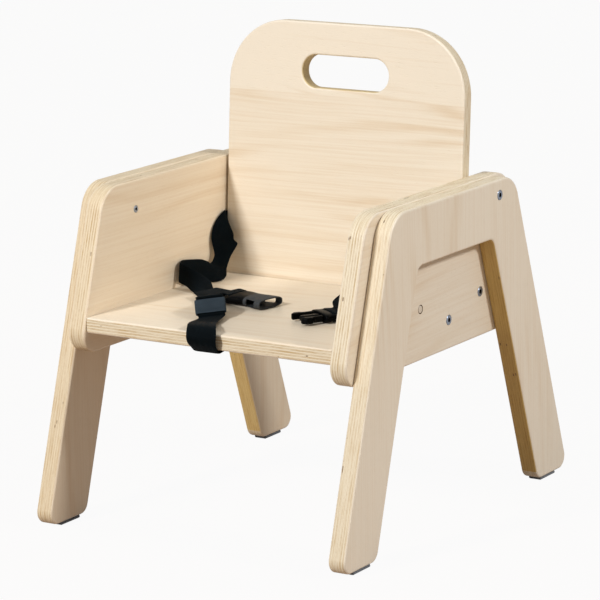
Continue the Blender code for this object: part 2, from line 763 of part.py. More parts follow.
def add_strap_screw(name, position, outward, board, strap, collections):
    """A pan-head screw and its washer, through the strap's end into a board."""
    seat = WEBBING_CLEARANCE + WEBBING_THICKNESS + FIT_GAP
    bore = PAN_SHANK_RADIUS + FIT_GAP
    washer = turned(name + "_washer", (
        (bore, WASHER_THICKNESS),
        (WASHER_RADIUS, WASHER_THICKNESS),
        (WASHER_RADIUS, 0),
        (bore, 0),
    ), SCREW_SIDES, collections[0], ring=True)
    washer.matrix_world = aimed(position + outward * seat, outward)
    finish_part(washer, ZINC, 0.4, 0.9)
    under_head = seat + WASHER_THICKNESS + FIT_GAP
    socket = PAN_HEAD_RADIUS / 3
    top = under_head + PAN_HEAD_HEIGHT
    screw = turned(name + "_screw", (
        (0, top - PAN_SOCKET_DEPTH),
        (socket, top - PAN_SOCKET_DEPTH),
        (socket, top),
        (PAN_HEAD_RADIUS * PAN_TOP_SHARE, top),
        (PAN_HEAD_RADIUS, top - PAN_HEAD_HEIGHT / 2),
        (PAN_HEAD_RADIUS, under_head),
        (PAN_SHANK_RADIUS, under_head),
        (PAN_SHANK_RADIUS, -PAN_BITE + PAN_SHANK_RADIUS),
        (0, -PAN_BITE),
    ), SCREW_SIDES, collections[0])
    screw.matrix_world = aimed(position, outward)
    finish_part(screw, ZINC, 0.35, 0.9)
    hole = turned(name + "_screw_hole", (
        (0, top),
        (bore, top),
        (bore, -PAN_BITE - FIT_GAP),
        (0, -PAN_BITE - FIT_GAP),
    ), SCREW_SIDES, collections[1])
    hole.matrix_world = aimed(position, outward)
    hide_cutter(hole)
    cut(board, hole)
    cut(strap, hole)


def hang_on(obj, pivot):
    """Parent an object to an unturned empty and leave it where it is."""
    world = obj.matrix_world.copy()
    obj.parent = pivot
    obj.matrix_basis = Matrix.Translation(-pivot.location) @ world


def pivot_empty(name, position, collection):
    empty = bpy.data.objects.new(name, None)
    empty.location = position
    collection.objects.link(empty)
    return empty


def webbing_opening(name, place, bar_x, thickness, inward, collection):
    """Cutters that leave a bar for the webbing at the end of a buckle half.

    inward is the sign of the way from the bar to the slot, along the buckle's X.
    """
    width = WEBBING_WIDTH + 2 * BUCKLE_STRAP_CLEARANCE
    half_bar = BUCKLE_BAR / 2
    slot = box(name + "_slot", (BUCKLE_SLOT, width, thickness + 2 * CUT_OVERRUN),
               (bar_x + inward * (half_bar + BUCKLE_SLOT / 2), 0, thickness / 2), place, collection)
    recess_depth = thickness / 2 - bar_half_height(thickness)
    length = BUCKLE_BAR + BUCKLE_SLOT / 2 + CUT_OVERRUN
    middle = bar_x + inward * (half_bar + BUCKLE_SLOT / 2 - length / 2)
    cutters = [slot]
    for label, edge, way in (("_top", thickness, 1), ("_base", 0, -1)):
        height = recess_depth + CUT_OVERRUN
        centre = edge + way * (CUT_OVERRUN - recess_depth) / 2
        cutters.append(box(name + label, (length, width, height), (middle, 0, centre), place, collection))
    for cutter in cutters:
        hide_cutter(cutter)
    return cutters


def buckle_body(name, start, end, thickness, place, collection):
    """A rounded block from start to end along the buckle's X."""
    half = BUCKLE_WIDTH / 2
    outline = rounded((
        (start, -half, BUCKLE_CORNER_RADIUS),
        (end, -half, BUCKLE_CORNER_RADIUS),
        (end, half, BUCKLE_CORNER_RADIUS),
        (start, half, BUCKLE_CORNER_RADIUS),
    ))
    lifted = place @ Matrix.Translation((0, 0, thickness / 2))
    body = flat_board(name, (outline,), thickness, collection, lifted)
    round_edges(body, BUCKLE_EDGE_ROUND)
    return body


def make_female(place, collections):
    body = buckle_body("female_buckle", -FEMALE_LENGTH, 0, FEMALE_THICKNESS, place, collections[0])
    inner_width = BUCKLE_WIDTH - 2 * FEMALE_WALL
    inner_height = FEMALE_THICKNESS - 2 * FEMALE_WALL
    middle = FEMALE_THICKNESS / 2
    cavity_length = FEMALE_CAVITY + CUT_OVERRUN
    cavity = box("female_cavity", (cavity_length, inner_width, inner_height),
                 (CUT_OVERRUN - cavity_length / 2, 0, middle), place, collections[1])
    window_x = -FEMALE_WINDOW_INSET - FEMALE_WINDOW_LENGTH / 2
    window = box("female_windows", (FEMALE_WINDOW_LENGTH, BUCKLE_WIDTH + 2 * CUT_OVERRUN, inner_height),
                 (window_x, 0, middle), place, collections[1])
    for cutter in (cavity, window):
        hide_cutter(cutter)
        cut(body, cutter)
    for cutter in webbing_opening("female", place, female_bar_x(), FEMALE_THICKNESS, 1, collections[1]):
        cut(body, cutter)
    return finish_part(body, BLACK_PLASTIC, 0.35)


def make_male(place, collections):
    """The plate with its webbing bar and the guide tongue between the prongs."""
    body = buckle_body("male_buckle", 0, MALE_LENGTH, MALE_THICKNESS, place, collections[0])
    for cutter in webbing_opening("male", place, male_bar_x(), MALE_THICKNESS, -1, collections[1]):
        cut(body, cutter)
    half = TONGUE_WIDTH / 2
    root = BUCKLE_SLOT
    outline = rounded((
        (root, -half, 0),
        (root, half, 0),
        (-TONGUE_LENGTH, half, half),
        (-TONGUE_LENGTH, -half, half),
    ))
    lifted = place @ Matrix.Translation((0, 0, MALE_THICKNESS / 2))
    tongue = flat_board("male_tongue", (outline,), TONGUE_THICKNESS, collections[1], lifted)
    hide_cutter(tongue)
    join = body.modifiers.new("tongue", "BOOLEAN")
    join.operation = "UNION"
    join.solver = "EXACT"
    join.object = tongue
    return finish_part(body, BLACK_PLASTIC, 0.35)


def prong_pivot(place, sign):
    """The root of a latch arm, where it bends: the centre of its round end."""
    side = BUCKLE_WIDTH / 2 - PRONG_INSET
    return place @ Vector((-PRONG_WIDTH / 2 - FIT_GAP, sign * side, MALE_THICKNESS / 2))


def make_prong(name, place, sign, collections):
    """A latch arm with a barb on its outer side, its origin where it bends."""
    half = PRONG_WIDTH / 2
    tip = -PRONG_LENGTH + half
    barb = half + PRONG_BARB
    rise, crest, fall = PRONG_BARB_SHARES
    outline = rounded((
        (half, -sign * half, half),
        (half, sign * half, half),
        (tip * rise, sign * half, half),
        (tip * crest, sign * barb, half / 2),
        (tip * fall, sign * barb, half),
        (tip, sign * half / 2, half / 2),
        (tip, -sign * half, half / 2),
    ))
    pivot = prong_pivot(place, sign)
    at_pivot = Matrix.Translation(pivot) @ place.to_3x3().to_4x4()
    prong = flat_board(name, (outline,), PRONG_THICKNESS, collections[0], at_pivot)
    return finish_part(prong, BLACK_PLASTIC, 0.35)


def make_boards(parts):
    made = {}
    for label, side in (("left", -1), ("right", 1)):
        frame_x = side * (FRAME_INNER + FRAME_THICKNESS / 2)
        frame = flat_board(label + "_leg_frame", (frame_outline(),), FRAME_THICKNESS, parts,
                           side_plane(frame_x))
        round_edges(frame, FRAME_EDGE_ROUND)
        made[label, "frame"] = finish_part(frame, PLY, 0.55)
        panel_x = side * (HALF_CLEAR + PANEL_THICKNESS / 2)
        panel = flat_board(label + "_side_panel", (panel_outline(),), PANEL_THICKNESS, parts,
                           side_plane(panel_x))
        round_edges(panel, PANEL_EDGE_ROUND)
        made[label, "panel"] = finish_part(panel, PLY_WARM, 0.55)
    width = CLEAR_WIDTH - 2 * FIT_GAP
    seat = flat_board("seat_board", (seat_outline(),), width, parts, side_plane(0))
    made["seat"] = finish_part(seat, PLY, 0.55)
    back = flat_board("back_board", back_outlines(), BACK_THICKNESS, parts, back_place())
    round_edges(back, BACK_EDGE_ROUND)
    made["back"] = finish_part(back, PLY, 0.55)
    return made


def make_pads(parts):
    front = -front_reach(LEG_BOTTOM) + LEG_WIDTH / math.cos(math.radians(FRONT_RAKE_DEG)) / 2
    rear = rear_reach(LEG_BOTTOM) - LEG_WIDTH / math.cos(math.radians(REAR_RAKE_DEG)) / 2
    for label, side in (("left", -1), ("right", 1)):
        for end, y in (("front", front + PAD_INWARD), ("rear", rear - PAD_INWARD)):
            x = side * (FRAME_INNER + FRAME_THICKNESS / 2)
            size = (PAD_WIDTH, PAD_LENGTH, PAD_THICKNESS)
            centre = (x, y, PAD_THICKNESS / 2)
            pad = box(label + "_" + end + "_foot_pad", size, centre, Matrix.Identity(4), parts)
            round_edges(pad, PAD_EDGE_ROUND, 1)
            finish_part(pad, DARK_PAD, 0.7)


def make_screws(boards, collections):
    back = boards["back"]
    seat = boards["seat"]
    long_screw = FRAME_OUTER - BACK_HALF_WIDTH + SCREW_BITE
    short_screw = PANEL_OUTER - HALF_CLEAR + SCREW_BITE
    arm_screw = PANEL_THICKNESS + FIT_GAP + ARM_SCREW_BITE
    for label, side in (("left", -1), ("right", 1)):
        frame = boards[label, "frame"]
        panel = boards[label, "panel"]
        outward = Vector((side, 0, 0))
        middle = BACK_THICKNESS / 2
        high = back_point(0, ARM_HEIGHT - FRAME_SCREW_DROP, middle)
        low = back_point(0, SEAT_HEIGHT + BACK_SCREW_RISE, middle)
        add_screw(label + "_frame_to_back_screw", Vector((side * FRAME_OUTER, high.y, high.z)), outward,
                  long_screw, (frame, panel, back), collections)
        add_screw(label + "_panel_to_back_screw", Vector((side * PANEL_OUTER, low.y, low.z)), outward,
                  short_screw, (panel, back), collections)
        for end, inset in (("front", SEAT_FRONT_SCREW_INSET), ("rear", SEAT_REAR_SCREW_INSET)):
            add_screw(label + "_" + end + "_seat_screw",
                      Vector((side * PANEL_OUTER, SEAT_FRONT + inset, SEAT_MIDDLE)), outward,
                      short_screw, (panel, seat), collections)
        height = ARM_HEIGHT - ARM_SCREW_DROP
        add_screw(label + "_arm_screw",
                  Vector((side * HALF_CLEAR, ARM_SCREW_INSET - front_reach(height), height)), -outward,
                  arm_screw, (panel, frame), collections, small=True)
        add_plug(label + "_panel_plug", side, panel, collections)


def make_harness(boards, collections):
    parts = collections[0]
    female_place = buckle_place(FEMALE_MOUTH_PLACE_SHARES, FEMALE_TURN_DEG)
    male_place = buckle_place(MALE_SHOULDER_PLACE_SHARES, MALE_TURN_DEG)
    left_strap = ribbon("left_hip_strap", left_strap_rows(female_place), parts)
    right_strap = ribbon("right_hip_strap", right_strap_rows(male_place), parts)
    crotch_strap = ribbon("crotch_strap", crotch_strap_rows(female_place), parts)
    make_keeper(parts)
    anchor = BACK_HALF_WIDTH - STRAP_ANCHOR_INSET
    for label, side, strap in (("left", -1, left_strap), ("right", 1, right_strap)):
        position = back_point(side * anchor, STRAP_HEIGHT, BACK_THICKNESS)
        add_strap_screw(label + "_hip_strap", position, BACK_REARWARD, boards["back"], strap, collections)
    under = seat_place(*CROTCH_ANCHOR_PLACE_SHARES, 0)
    under.z = BACK_BOTTOM
    add_strap_screw("crotch_strap", under, Vector((0, 0, -1)), boards["seat"], crotch_strap, collections)

    female_pivot = pivot_empty("female_side_pivot", (0, SEAT_FRONT, SEAT_HEIGHT), parts)
    male_pivot = pivot_empty("male_side_pivot", back_point(STRAP_PLANE, STRAP_HEIGHT, 0), parts)
    female = make_female(female_place, collections)
    male = make_male(male_place, collections)
    front_prong = make_prong("male_front_prong", male_place, -1, collections)
    rear_prong = make_prong("male_rear_prong", male_place, 1, collections)
    hang_on(female, female_pivot)
    for piece in (male, front_prong, rear_prong):
        hang_on(piece, male_pivot)


def main():
    for obj in list(bpy.data.objects):
        bpy.data.objects.remove(obj)
    parts = new_collection("toddler_chair")
    cutters = new_collection("cutters")
    boards = make_boards(parts)
    make_pads(parts)
    make_screws(boards, (parts, cutters))
    make_harness(boards, (parts, cutters))
    bpy.context.view_layer.update()


main()
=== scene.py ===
"""Toddler chair of birch plywood boards with a webbing harness, dressed over its CAD model."""
import math

import bmesh
import bpy
from bpy.props import FloatProperty, FloatVectorProperty, IntProperty, PointerProperty
from mathutils import Matrix, Vector


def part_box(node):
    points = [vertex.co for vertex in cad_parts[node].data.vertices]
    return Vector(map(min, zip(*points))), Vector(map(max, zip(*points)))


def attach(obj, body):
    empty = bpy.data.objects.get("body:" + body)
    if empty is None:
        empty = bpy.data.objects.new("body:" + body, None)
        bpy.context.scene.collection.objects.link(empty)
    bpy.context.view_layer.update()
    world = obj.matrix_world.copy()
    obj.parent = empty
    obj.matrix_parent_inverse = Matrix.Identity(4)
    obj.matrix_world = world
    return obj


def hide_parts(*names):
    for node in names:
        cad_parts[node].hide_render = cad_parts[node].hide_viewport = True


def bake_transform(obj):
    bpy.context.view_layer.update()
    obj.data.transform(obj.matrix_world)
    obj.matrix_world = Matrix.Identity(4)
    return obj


bl_info = {
    "name": "Toddler Chair",
    "version": (1, 0, 0),
    "blender": (4, 5, 0),
    "location": "3D View > Sidebar > Toddler Chair",
    "description": "Plywood toddler chair with a webbing harness and side-release buckle",
    "category": "Object",
}

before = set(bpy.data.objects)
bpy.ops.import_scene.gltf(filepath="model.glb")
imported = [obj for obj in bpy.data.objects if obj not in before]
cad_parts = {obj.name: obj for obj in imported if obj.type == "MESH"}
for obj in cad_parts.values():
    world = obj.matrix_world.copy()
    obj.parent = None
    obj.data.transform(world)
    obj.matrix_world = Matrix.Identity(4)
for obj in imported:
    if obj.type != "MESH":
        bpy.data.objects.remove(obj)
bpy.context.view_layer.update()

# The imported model's own places, read from its nodes
SEAT_LOW, SEAT_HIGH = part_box("seat_board")
FRAME_LOW, FRAME_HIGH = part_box("right_leg_frame")
PANEL_LOW, PANEL_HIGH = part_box("right_side_panel")
SEAT_HEIGHT = SEAT_HIGH[2]
SEAT_THICKNESS = SEAT_HIGH[2] - SEAT_LOW[2]
SEAT_FRONT = SEAT_LOW[1]
SEAT_DEPTH = SEAT_HIGH[1] - SEAT_LOW[1]
ARM_HEIGHT = FRAME_HIGH[2]
ARM_RISE = ARM_HEIGHT - SEAT_HEIGHT
LEG_BOTTOM = FRAME_LOW[2]
CHAIR_DEPTH = FRAME_HIGH[1] - FRAME_LOW[1]
PANEL_BOTTOM = PANEL_LOW[2]
FRAME_INNER, FRAME_OUTER = FRAME_LOW[0], FRAME_HIGH[0]
HALF_CLEAR, PANEL_OUTER = PANEL_LOW[0], PANEL_HIGH[0]
FRAME_THICKNESS = FRAME_OUTER - FRAME_INNER
PANEL_THICKNESS = PANEL_OUTER - HALF_CLEAR
BACK_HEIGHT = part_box("back_board")[1][2]

FIT_GAP = 0.0003
ARC_STEP = math.radians(4)
FRONT_RAKE = math.radians(16.9)
REAR_RAKE = math.radians(19.6)
LEG_WIDTH = 0.0605
ARCH_DROP = 0.057
ARCH_HEIGHT = ARM_HEIGHT - ARCH_DROP
FRAME_TOP_RADIUS = 0.030
FOOT_RADIUS = 0.012
ARCH_RADIUS = 0.010
PANEL_FRONT_REACH = 0.0165
PANEL_REAR_REACH = 0.018
PANEL_TOP_RADIUS = 0.030
PANEL_BOTTOM_RADIUS = 0.020
SEAT_EDGE_ROUND = 0.002
BACK_THICKNESS = 0.015
BACK_LEAN = math.radians(3.9)
BACK_TOP_RADIUS = 0.065
BACK_LINE = SEAT_FRONT + SEAT_DEPTH + FIT_GAP + SEAT_THICKNESS * math.tan(BACK_LEAN)
BACK_BOTTOM = SEAT_HEIGHT - SEAT_THICKNESS
BACK_UP = Vector((0, math.sin(BACK_LEAN), math.cos(BACK_LEAN)))
BACK_REARWARD = Vector((0, math.cos(BACK_LEAN), -math.sin(BACK_LEAN)))
HANDLE_WIDTH = 0.0994
HANDLE_HEIGHT = 0.033
HANDLE_DROP = 0.0487
BACK_SEAM_HEIGHT = 0.392
NO_SEAM = 10.0
OVERCUT = 0.001
FACE_MARGIN = 0.003
SLOT_MARGIN = 0.004
SIDEWAYS = 0.8
SHARP_ANGLE = math.radians(38)
BAND_SHARP_ANGLE = math.radians(70)
FLAT_ANGLE = math.radians(0.5)
MERGE_DISTANCE = 1e-6

SCREW_HEAD = (0.0048, 0.0034)
SMALL_SCREW_SHARE = 0.0034 / 0.0048
SCREW_SLOPE_DEPTH = 0.003
SCREW_SHANK_LENGTH = 0.012
COUNTERSINK_EASE = (0.0004, 0.0008)
COUNTERSINK_FLOOR_SHARE = 0.62
FRAME_SCREW_DROP = 0.015
BACK_SCREW_RISE = 0.009
SEAT_SCREW_INSETS = (0.038, 0.187)
ARM_SCREW_DROP = 0.0287
ARM_SCREW_INSET = 0.044
PLUG_RADIUS = 0.004
PLUG_RISE = 0.0137
PLUG_INSET = 0.1323
PLUG_DEPTH = 0.005
PLUG_EASE = 0.0004
PLUG_PROUD = 0.0001
PLUG_RIM_DROP = 0.0002
PLUG_HOLE_EASE = 0.0005

WEBBING_WIDTH = 0.026
WEBBING_THICKNESS = 0.0013
WEBBING_CLEARANCE = 0.00035
WEBBING_OFF = WEBBING_CLEARANCE + WEBBING_THICKNESS / 2
LAYER_STEP = 0.0020
STRAP_HEIGHT = SEAT_HEIGHT + 0.050
STRAP_ANCHOR_INSET = 0.0275
STRAP_END_LENGTH = 0.014
STRAP_GAP = WEBBING_THICKNESS + 2 * WEBBING_CLEARANCE
BACK_HALF_WIDTH = HALF_CLEAR - STRAP_GAP
BACK_EDGE_ROUND = 0.002
STRAP_PLANE = HALF_CLEAR - STRAP_GAP / 2
SEAT_LAYER = SEAT_HEIGHT + FIT_GAP + WEBBING_THICKNESS / 2
ROW_STEPS = 8

BUCKLE_WIDTH = 0.034
BUCKLE_BAR = 0.004
BUCKLE_SLOT = 0.0036
BUCKLE_TAIL = 0.006
FEMALE_LENGTH = 0.049
FEMALE_THICKNESS = 0.0102
# Faces of the female half behind this place take the matte plastic as painted shade
SHADE_BEHIND = -0.024
FEMALE_BAR_X = -FEMALE_LENGTH + BUCKLE_BAR / 2
MALE_LENGTH = 0.016
MALE_THICKNESS = 0.0095
MALE_BAR_X = MALE_LENGTH - BUCKLE_BAR / 2
BAR_SIDE_ROOM = 0.0012
BAR_CUT_REACH = 0.004
WINDOW_SIZE = (0.013, BUCKLE_WIDTH + 0.008, 0.0066)
WINDOW_X = -0.0135
WINDOW_ROUND = 0.002
TONGUE_ROUND = 0.0015
PRONG_ROUND = 0.0016
TONGUE_LENGTH = 0.020
TONGUE_WIDTH = 0.0075
TONGUE_THICKNESS = 0.005
PRONG_LENGTH = 0.023
PRONG_WIDTH = 0.0042
PRONG_THICKNESS = 0.0064
PRONG_BARB = 0.0026
PRONG_INSET = 0.0062
PRONG_BARB_SHARES = (0.42, 0.55, 0.82)

# Sections of the buckle halves: place along the length, half width and half height
FEMALE_SHELL = (
    (-0.0490, 0.0160, 0.0034), (-0.0480, 0.0168, 0.0041), (-0.0440, 0.0170, 0.0047),
    (-0.0370, 0.0165, 0.0050), (-0.0300, 0.0150, 0.0050), (-0.0240, 0.0142, 0.0050),
    (-0.0180, 0.0145, 0.0051), (-0.0120, 0.0160, 0.0051), (-0.0060, 0.0169, 0.0051),
    (-0.0012, 0.0170, 0.0051), (0.0000, 0.0166, 0.0048),
)
FEMALE_HOLLOW = (
    (-0.0270, 0.0105, 0.0030), (-0.0240, 0.0122, 0.0034), (-0.0120, 0.0140, 0.0036),
    (-0.0020, 0.0150, 0.0037), (0.0000, 0.0155, 0.0040), (0.0040, 0.0162, 0.0046),
)
MALE_SHELL = (
    (0.0000, 0.0158, 0.0041), (0.0008, 0.0168, 0.0046), (0.0030, 0.0170, 0.00475),
    (0.0065, 0.0164, 0.0045), (0.0105, 0.0167, 0.0044), (0.0146, 0.0170, 0.0042),
    (0.0160, 0.0162, 0.0036),
)

# Shares of half the clear width and of the seat's depth, and a turn in degrees
FEMALE_MOUTH = (-0.028, 0.497, -11.0)
MALE_SHOULDER = (0.480, 0.392, 58.0)

# Shares of half the clear width, the seat's depth and the arm's rise over the seat, then
# the direction of the webbing's width and its seen width as a share of the real one
LEFT_STRAP_SHARES = (
    (-0.929, 0.984, 0.442, -13.5, 4.5, 22, 1.00),
    (-0.926, 0.952, 0.383, -15, -7, 16, 1.00),
    (-0.914, 0.938, 0.308, -19, -20, 8, 1.08),
    (-0.902, 0.934, 0.225, -15, -17, -5, 0.92),
    (-0.904, 0.907, 0.163, -10, -13, -2, 0.75),
    (-0.898, 0.876, 0.112, -8, -8, 4, 0.70),
    (-0.880, 0.853, 0.092, -13, -6, 11, 0.85),
    (-0.876, 0.822, 0.090, -15, -2, 18, 0.95),
    (-0.902, 0.780, 0.102, -11, 2, 22, 0.97),
    (-0.942, 0.726, 0.115, -6, 3, 22, 0.93),
    (-0.971, 0.680, 0.129, -2, 3, 22, 0.88),
    (-0.977, 0.655, 0.133, -0.3, 3, 21, 0.82),
    (-0.953, 0.636, 0.129, 1, 1, 18, 0.75),
    (-0.880, 0.626, 0.113, 0, 4, 16, 0.75),
    (-0.800, 0.613, 0.083, 0, 10, 14, 0.80),
    (-0.705, 0.595, 0.055, 0, 19, 8, 0.95),
)

# Shares of the way from the buckle to the gap and of the rise to it, and the webbing's tilt
RIGHT_STRAP_SHARES = (
    (0.06, 0.12, 0.03),
    (0.16, 0.31, 0.08),
    (0.30, 0.52, 0.25),
    (0.50, 0.78, 0.8),
    (0.75, 0.96, 2.6),
)

# Rows over the seat, in the same numbers as the left strap's
CROTCH_STRAP_SHARES = (
    (-0.022, -0.012, 0.060, 1, 0.2, 0, 1.12),
    (-0.087, 0.051, 0.053, 1, 0.4, 0, 1.02),
    (-0.145, 0.109, 0.030, 0.9, 0.46, 0, 1.00),
    (-0.430, 0.426, 0.048, 0.94, 0.20, 0, 1.00),
)

# The keeper comes before this row; it is KEEPER_PLACE in shares like the rows'
KEEPER_ROW = 3
KEEPER_PLACE = (-0.246, 0.246, 0.090)
KEEPER_TURN_DEG = 128.0
KEEPER_TILT_DEG = 34.0
KEEPER_ROLL_DEG = 7.0
KEEPER_LENGTH = 0.018
KEEPER_SIDE_GAP = 0.0006
KEEPER_RADIUS = 0.0018
KEEPER_STRAIGHT_SHARES = (-0.78, -0.52, 0, 0.52, 0.78)

# The crotch strap stays with the chair up to this row, below the seat's front edge
FOLD_ROW = 3 * ROW_STEPS + ROW_STEPS // 2

# Rows round the seat's front edge: shares of the bulge and of the seat's thickness, the
# skew of the webbing and its seen width
CROTCH_EDGE_SHARES = (
    (-0.02, -0.10, 0.02, 1.02),
    (0.60, 0.25, 0.12, 1.05),
    (0.95, 0.60, 0.22, 1.10),
    (1.0, 1.05, 0.26, 1.14),
)
CROTCH_BULGE = 0.0105
CROTCH_FRONT_SHARE = 0.010
CROTCH_ANCHOR = (0.073, 0.205)
CROTCH_CROSSING = 0.028
CROTCH_OVERLAP = 0.004

# Where the hip strap runs over the crotch strap's loop: shares of the webbing's width from
# the crossing point, and layers over the seat; then the loop's own top and base in layers
HIP_CROSSING_SHARES = ((-0.5, 1.2), (0.0, 1.1), (0.5, 1.1))
LOOP_TOP_SHARE = 2.5
LOOP_BASE_SHARE = 0.1
LOOP_TURNS = 12

# Camera fitted to the photograph: place in metres, turns in degrees, lens in millimetres
CAMERA_PLACE = (1.64031, -2.63902, 0.89318)
CAMERA_TURNS = (31.97, 12.55, -0.75)
CAMERA_LENS = 194.55
CAMERA_SENSOR = 36

# Lamps in degrees round the chair and above it, and metres from the point they are aimed at
KEY_LAMP = (-15, 32)
SIDE_LAMP = (92, 32)
LAMP_DISTANCE = 3.0
LAMP_AIM = 0.25
FLOOR_SIZE = 28
FLOOR_THICKNESS = 0.01


def linear(red, green, blue):
    """A colour from its 8-bit screen values."""
    made = []
    for value in (red, green, blue):
        value /= 255
        made.append(value / 12.92 if value <= 0.04045 else ((value + 0.055) / 1.055) ** 2.4)
    return tuple(made)


def colour(name, description, red, green, blue):
    return FloatVectorProperty(name=name, description=description, subtype="COLOR", size=3,
                               min=0, max=1, default=linear(red, green, blue))


def length(name, description, default):
    return FloatProperty(name=name, description=description, default=default, min=0,
                         unit="LENGTH", precision=5)


def fraction(name, description, default):
    return FloatProperty(name=name, description=description, default=default, min=0, max=1,
                         subtype="FACTOR")


def watts(name, description, default):
    return FloatProperty(name=name, description=description, default=default, min=0, unit="POWER")


class PlywoodSettings(bpy.types.PropertyGroup):
    """Edges, layers and colours of the boards"""

    frame_edge: length("Frame edge", "Rounding along the edges of the leg frames", 0.0025)
    panel_edge: length("Panel edge", "Rounding along the edges of panels and back board", 0.002)
    layer: length("Layer", "Thickness of one veneer in the boards", 0.00138)
    face_light: colour("Face light", "Pale wood between the figure lines", 240, 228, 208)
    face_dark: colour("Face dark", "Figure lines of the face veneer", 218, 192, 156)
    edge_light: colour("Edge light", "Veneers cut along their grain", 238, 226, 200)
    edge_dark: colour("Edge dark", "Veneers cut across their grain", 200, 172, 126)
    glue: colour("Glue line", "Thin lines between the veneers", 152, 118, 80)
    # Arch shade: a brown tint on the cut edges inside the arches, painted shade, lighter on the
    # left
    arch_shade: colour("Arch shade", "Painted shade on the cut edges inside the right arch", 232, 209, 145)
    arch_shade_left: colour("Arch shade, left", "Painted shade on the cut edges inside the left arch", 245, 225, 172)
    # Slot shade: a warm tint on the cut edges inside the hand slot, painted shade
    slot_shade: colour("Slot shade", "Painted shade tone of the cut edges inside the hand slot", 255, 246, 210)
    # Bore: painted shade, a dark tint on the walls of the plug holes
    bore: colour("Bore", "Tone of the shaded walls of the plug holes", 120, 100, 80)
    # Left shade: every board of the left side tinted darker, as painted shade
    left_shade: colour("Left shade", "Painted shade on the boards of the left side", 251, 246, 239)
    roughness: fraction("Roughness", "Roughness of the clear lacquer", 0.42)


class FixingSettings(bpy.types.PropertyGroup):
    """Screws, plugs and foot pads"""

    socket: length("Socket", "Radius of the key socket in a screw head", 0.0025)
    sides: IntProperty(name="Sides", description="Sides of a round screw head", default=36, min=12)
    zinc: colour("Zinc", "Zinc plating of the screws and washers", 168, 180, 198)
    # Socket shade: painted shade, a dark material inside the key sockets
    dark: colour("Socket shade", "Inside of the key sockets", 40, 40, 44)
    plug: colour("Plug", "End grain of the wooden plugs", 238, 224, 204)
    pad: colour("Foot pad", "Soft pads under the legs", 122, 128, 136)


class HarnessSettings(bpy.types.PropertyGroup):
    """Webbing and buckle"""

    thread: length("Thread", "Distance between two ribs of the weave", 0.0013)
    selvage: length("Selvage", "Width of the plain edge of the webbing", 0.0016)
    # Webbing colours: painted shade in the weave's hollows and painted highlight on the thread tops
    webbing: colour("Webbing", "Threads in the shade of the weave", 3, 5, 6)
    webbing_light: colour("Webbing light", "Tops of the threads", 13, 28, 35)
    # The keeper's colours are paler than the straps', with the same painted shade and highlight
    keeper: colour("Keeper", "Threads in the shade of the keeper's paler weave", 42, 51, 58)
    keeper_light: colour("Keeper light", "Tops of the keeper's threads", 80, 93, 104)
    plastic: colour("Buckle", "Moulded plastic of the buckle", 8, 9, 10)
    plastic_roughness: fraction("Buckle roughness", "Roughness of the moulded plastic", 0.36)


class StageSettings(bpy.types.PropertyGroup):
    """Floor and studio light"""

    floor: colour("Floor", "Colour of the floor", 158, 134, 112)
    floor_white: fraction("Floor white", "Share of plain white that the camera sees", 0.95)
    sky: FloatProperty(name="Sky", description="Strength of the light from all round",
                       default=0.30, min=0)
    backdrop: fraction("Backdrop", "Strength of the white that the camera sees behind", 0.957)
    mirrored: fraction("Mirrored", "Share of the surrounding white that reflections show", 0.5)
    key: watts("Key", "Power of the main lamp", 65.0)
    side: watts("Side", "Power of the lamp at the right", 41.0)
    lamp_size: length("Lamp size", "Width of both lamps", 0.32)


# ---------------------------------------------------------------- nodes and materials

VECTOR, NUMBER, COLOUR = "NodeSocketVector", "NodeSocketFloat", "NodeSocketColor"
LOOKS = (("Color", COLOUR), ("Roughness", NUMBER), ("Height", NUMBER))
WHITE, BLACK = (1, 1, 1, 1), (0, 0, 0, 1)
SPECK = (0.02, 0.012, 0.008, 1)


class Wire:
    """A node's output; reckoning with it adds math nodes."""

    def __init__(self, sketch, socket):
        self.sketch = sketch
        self.socket = socket

    def __add__(self, other):
        return self.sketch.math("ADD", self, other)

    def __sub__(self, other):
        return self.sketch.math("SUBTRACT", self, other)

    def __rsub__(self, other):
        return self.sketch.math("SUBTRACT", other, self)

    def __mul__(self, other):
        return self.sketch.math("MULTIPLY", self, other)

    def __truediv__(self, other):
        return self.sketch.math("DIVIDE", self, other)

    def __rtruediv__(self, other):
        return self.sketch.math("DIVIDE", other, self)

    def __abs__(self):
        return self.sketch.math("ABSOLUTE", self)


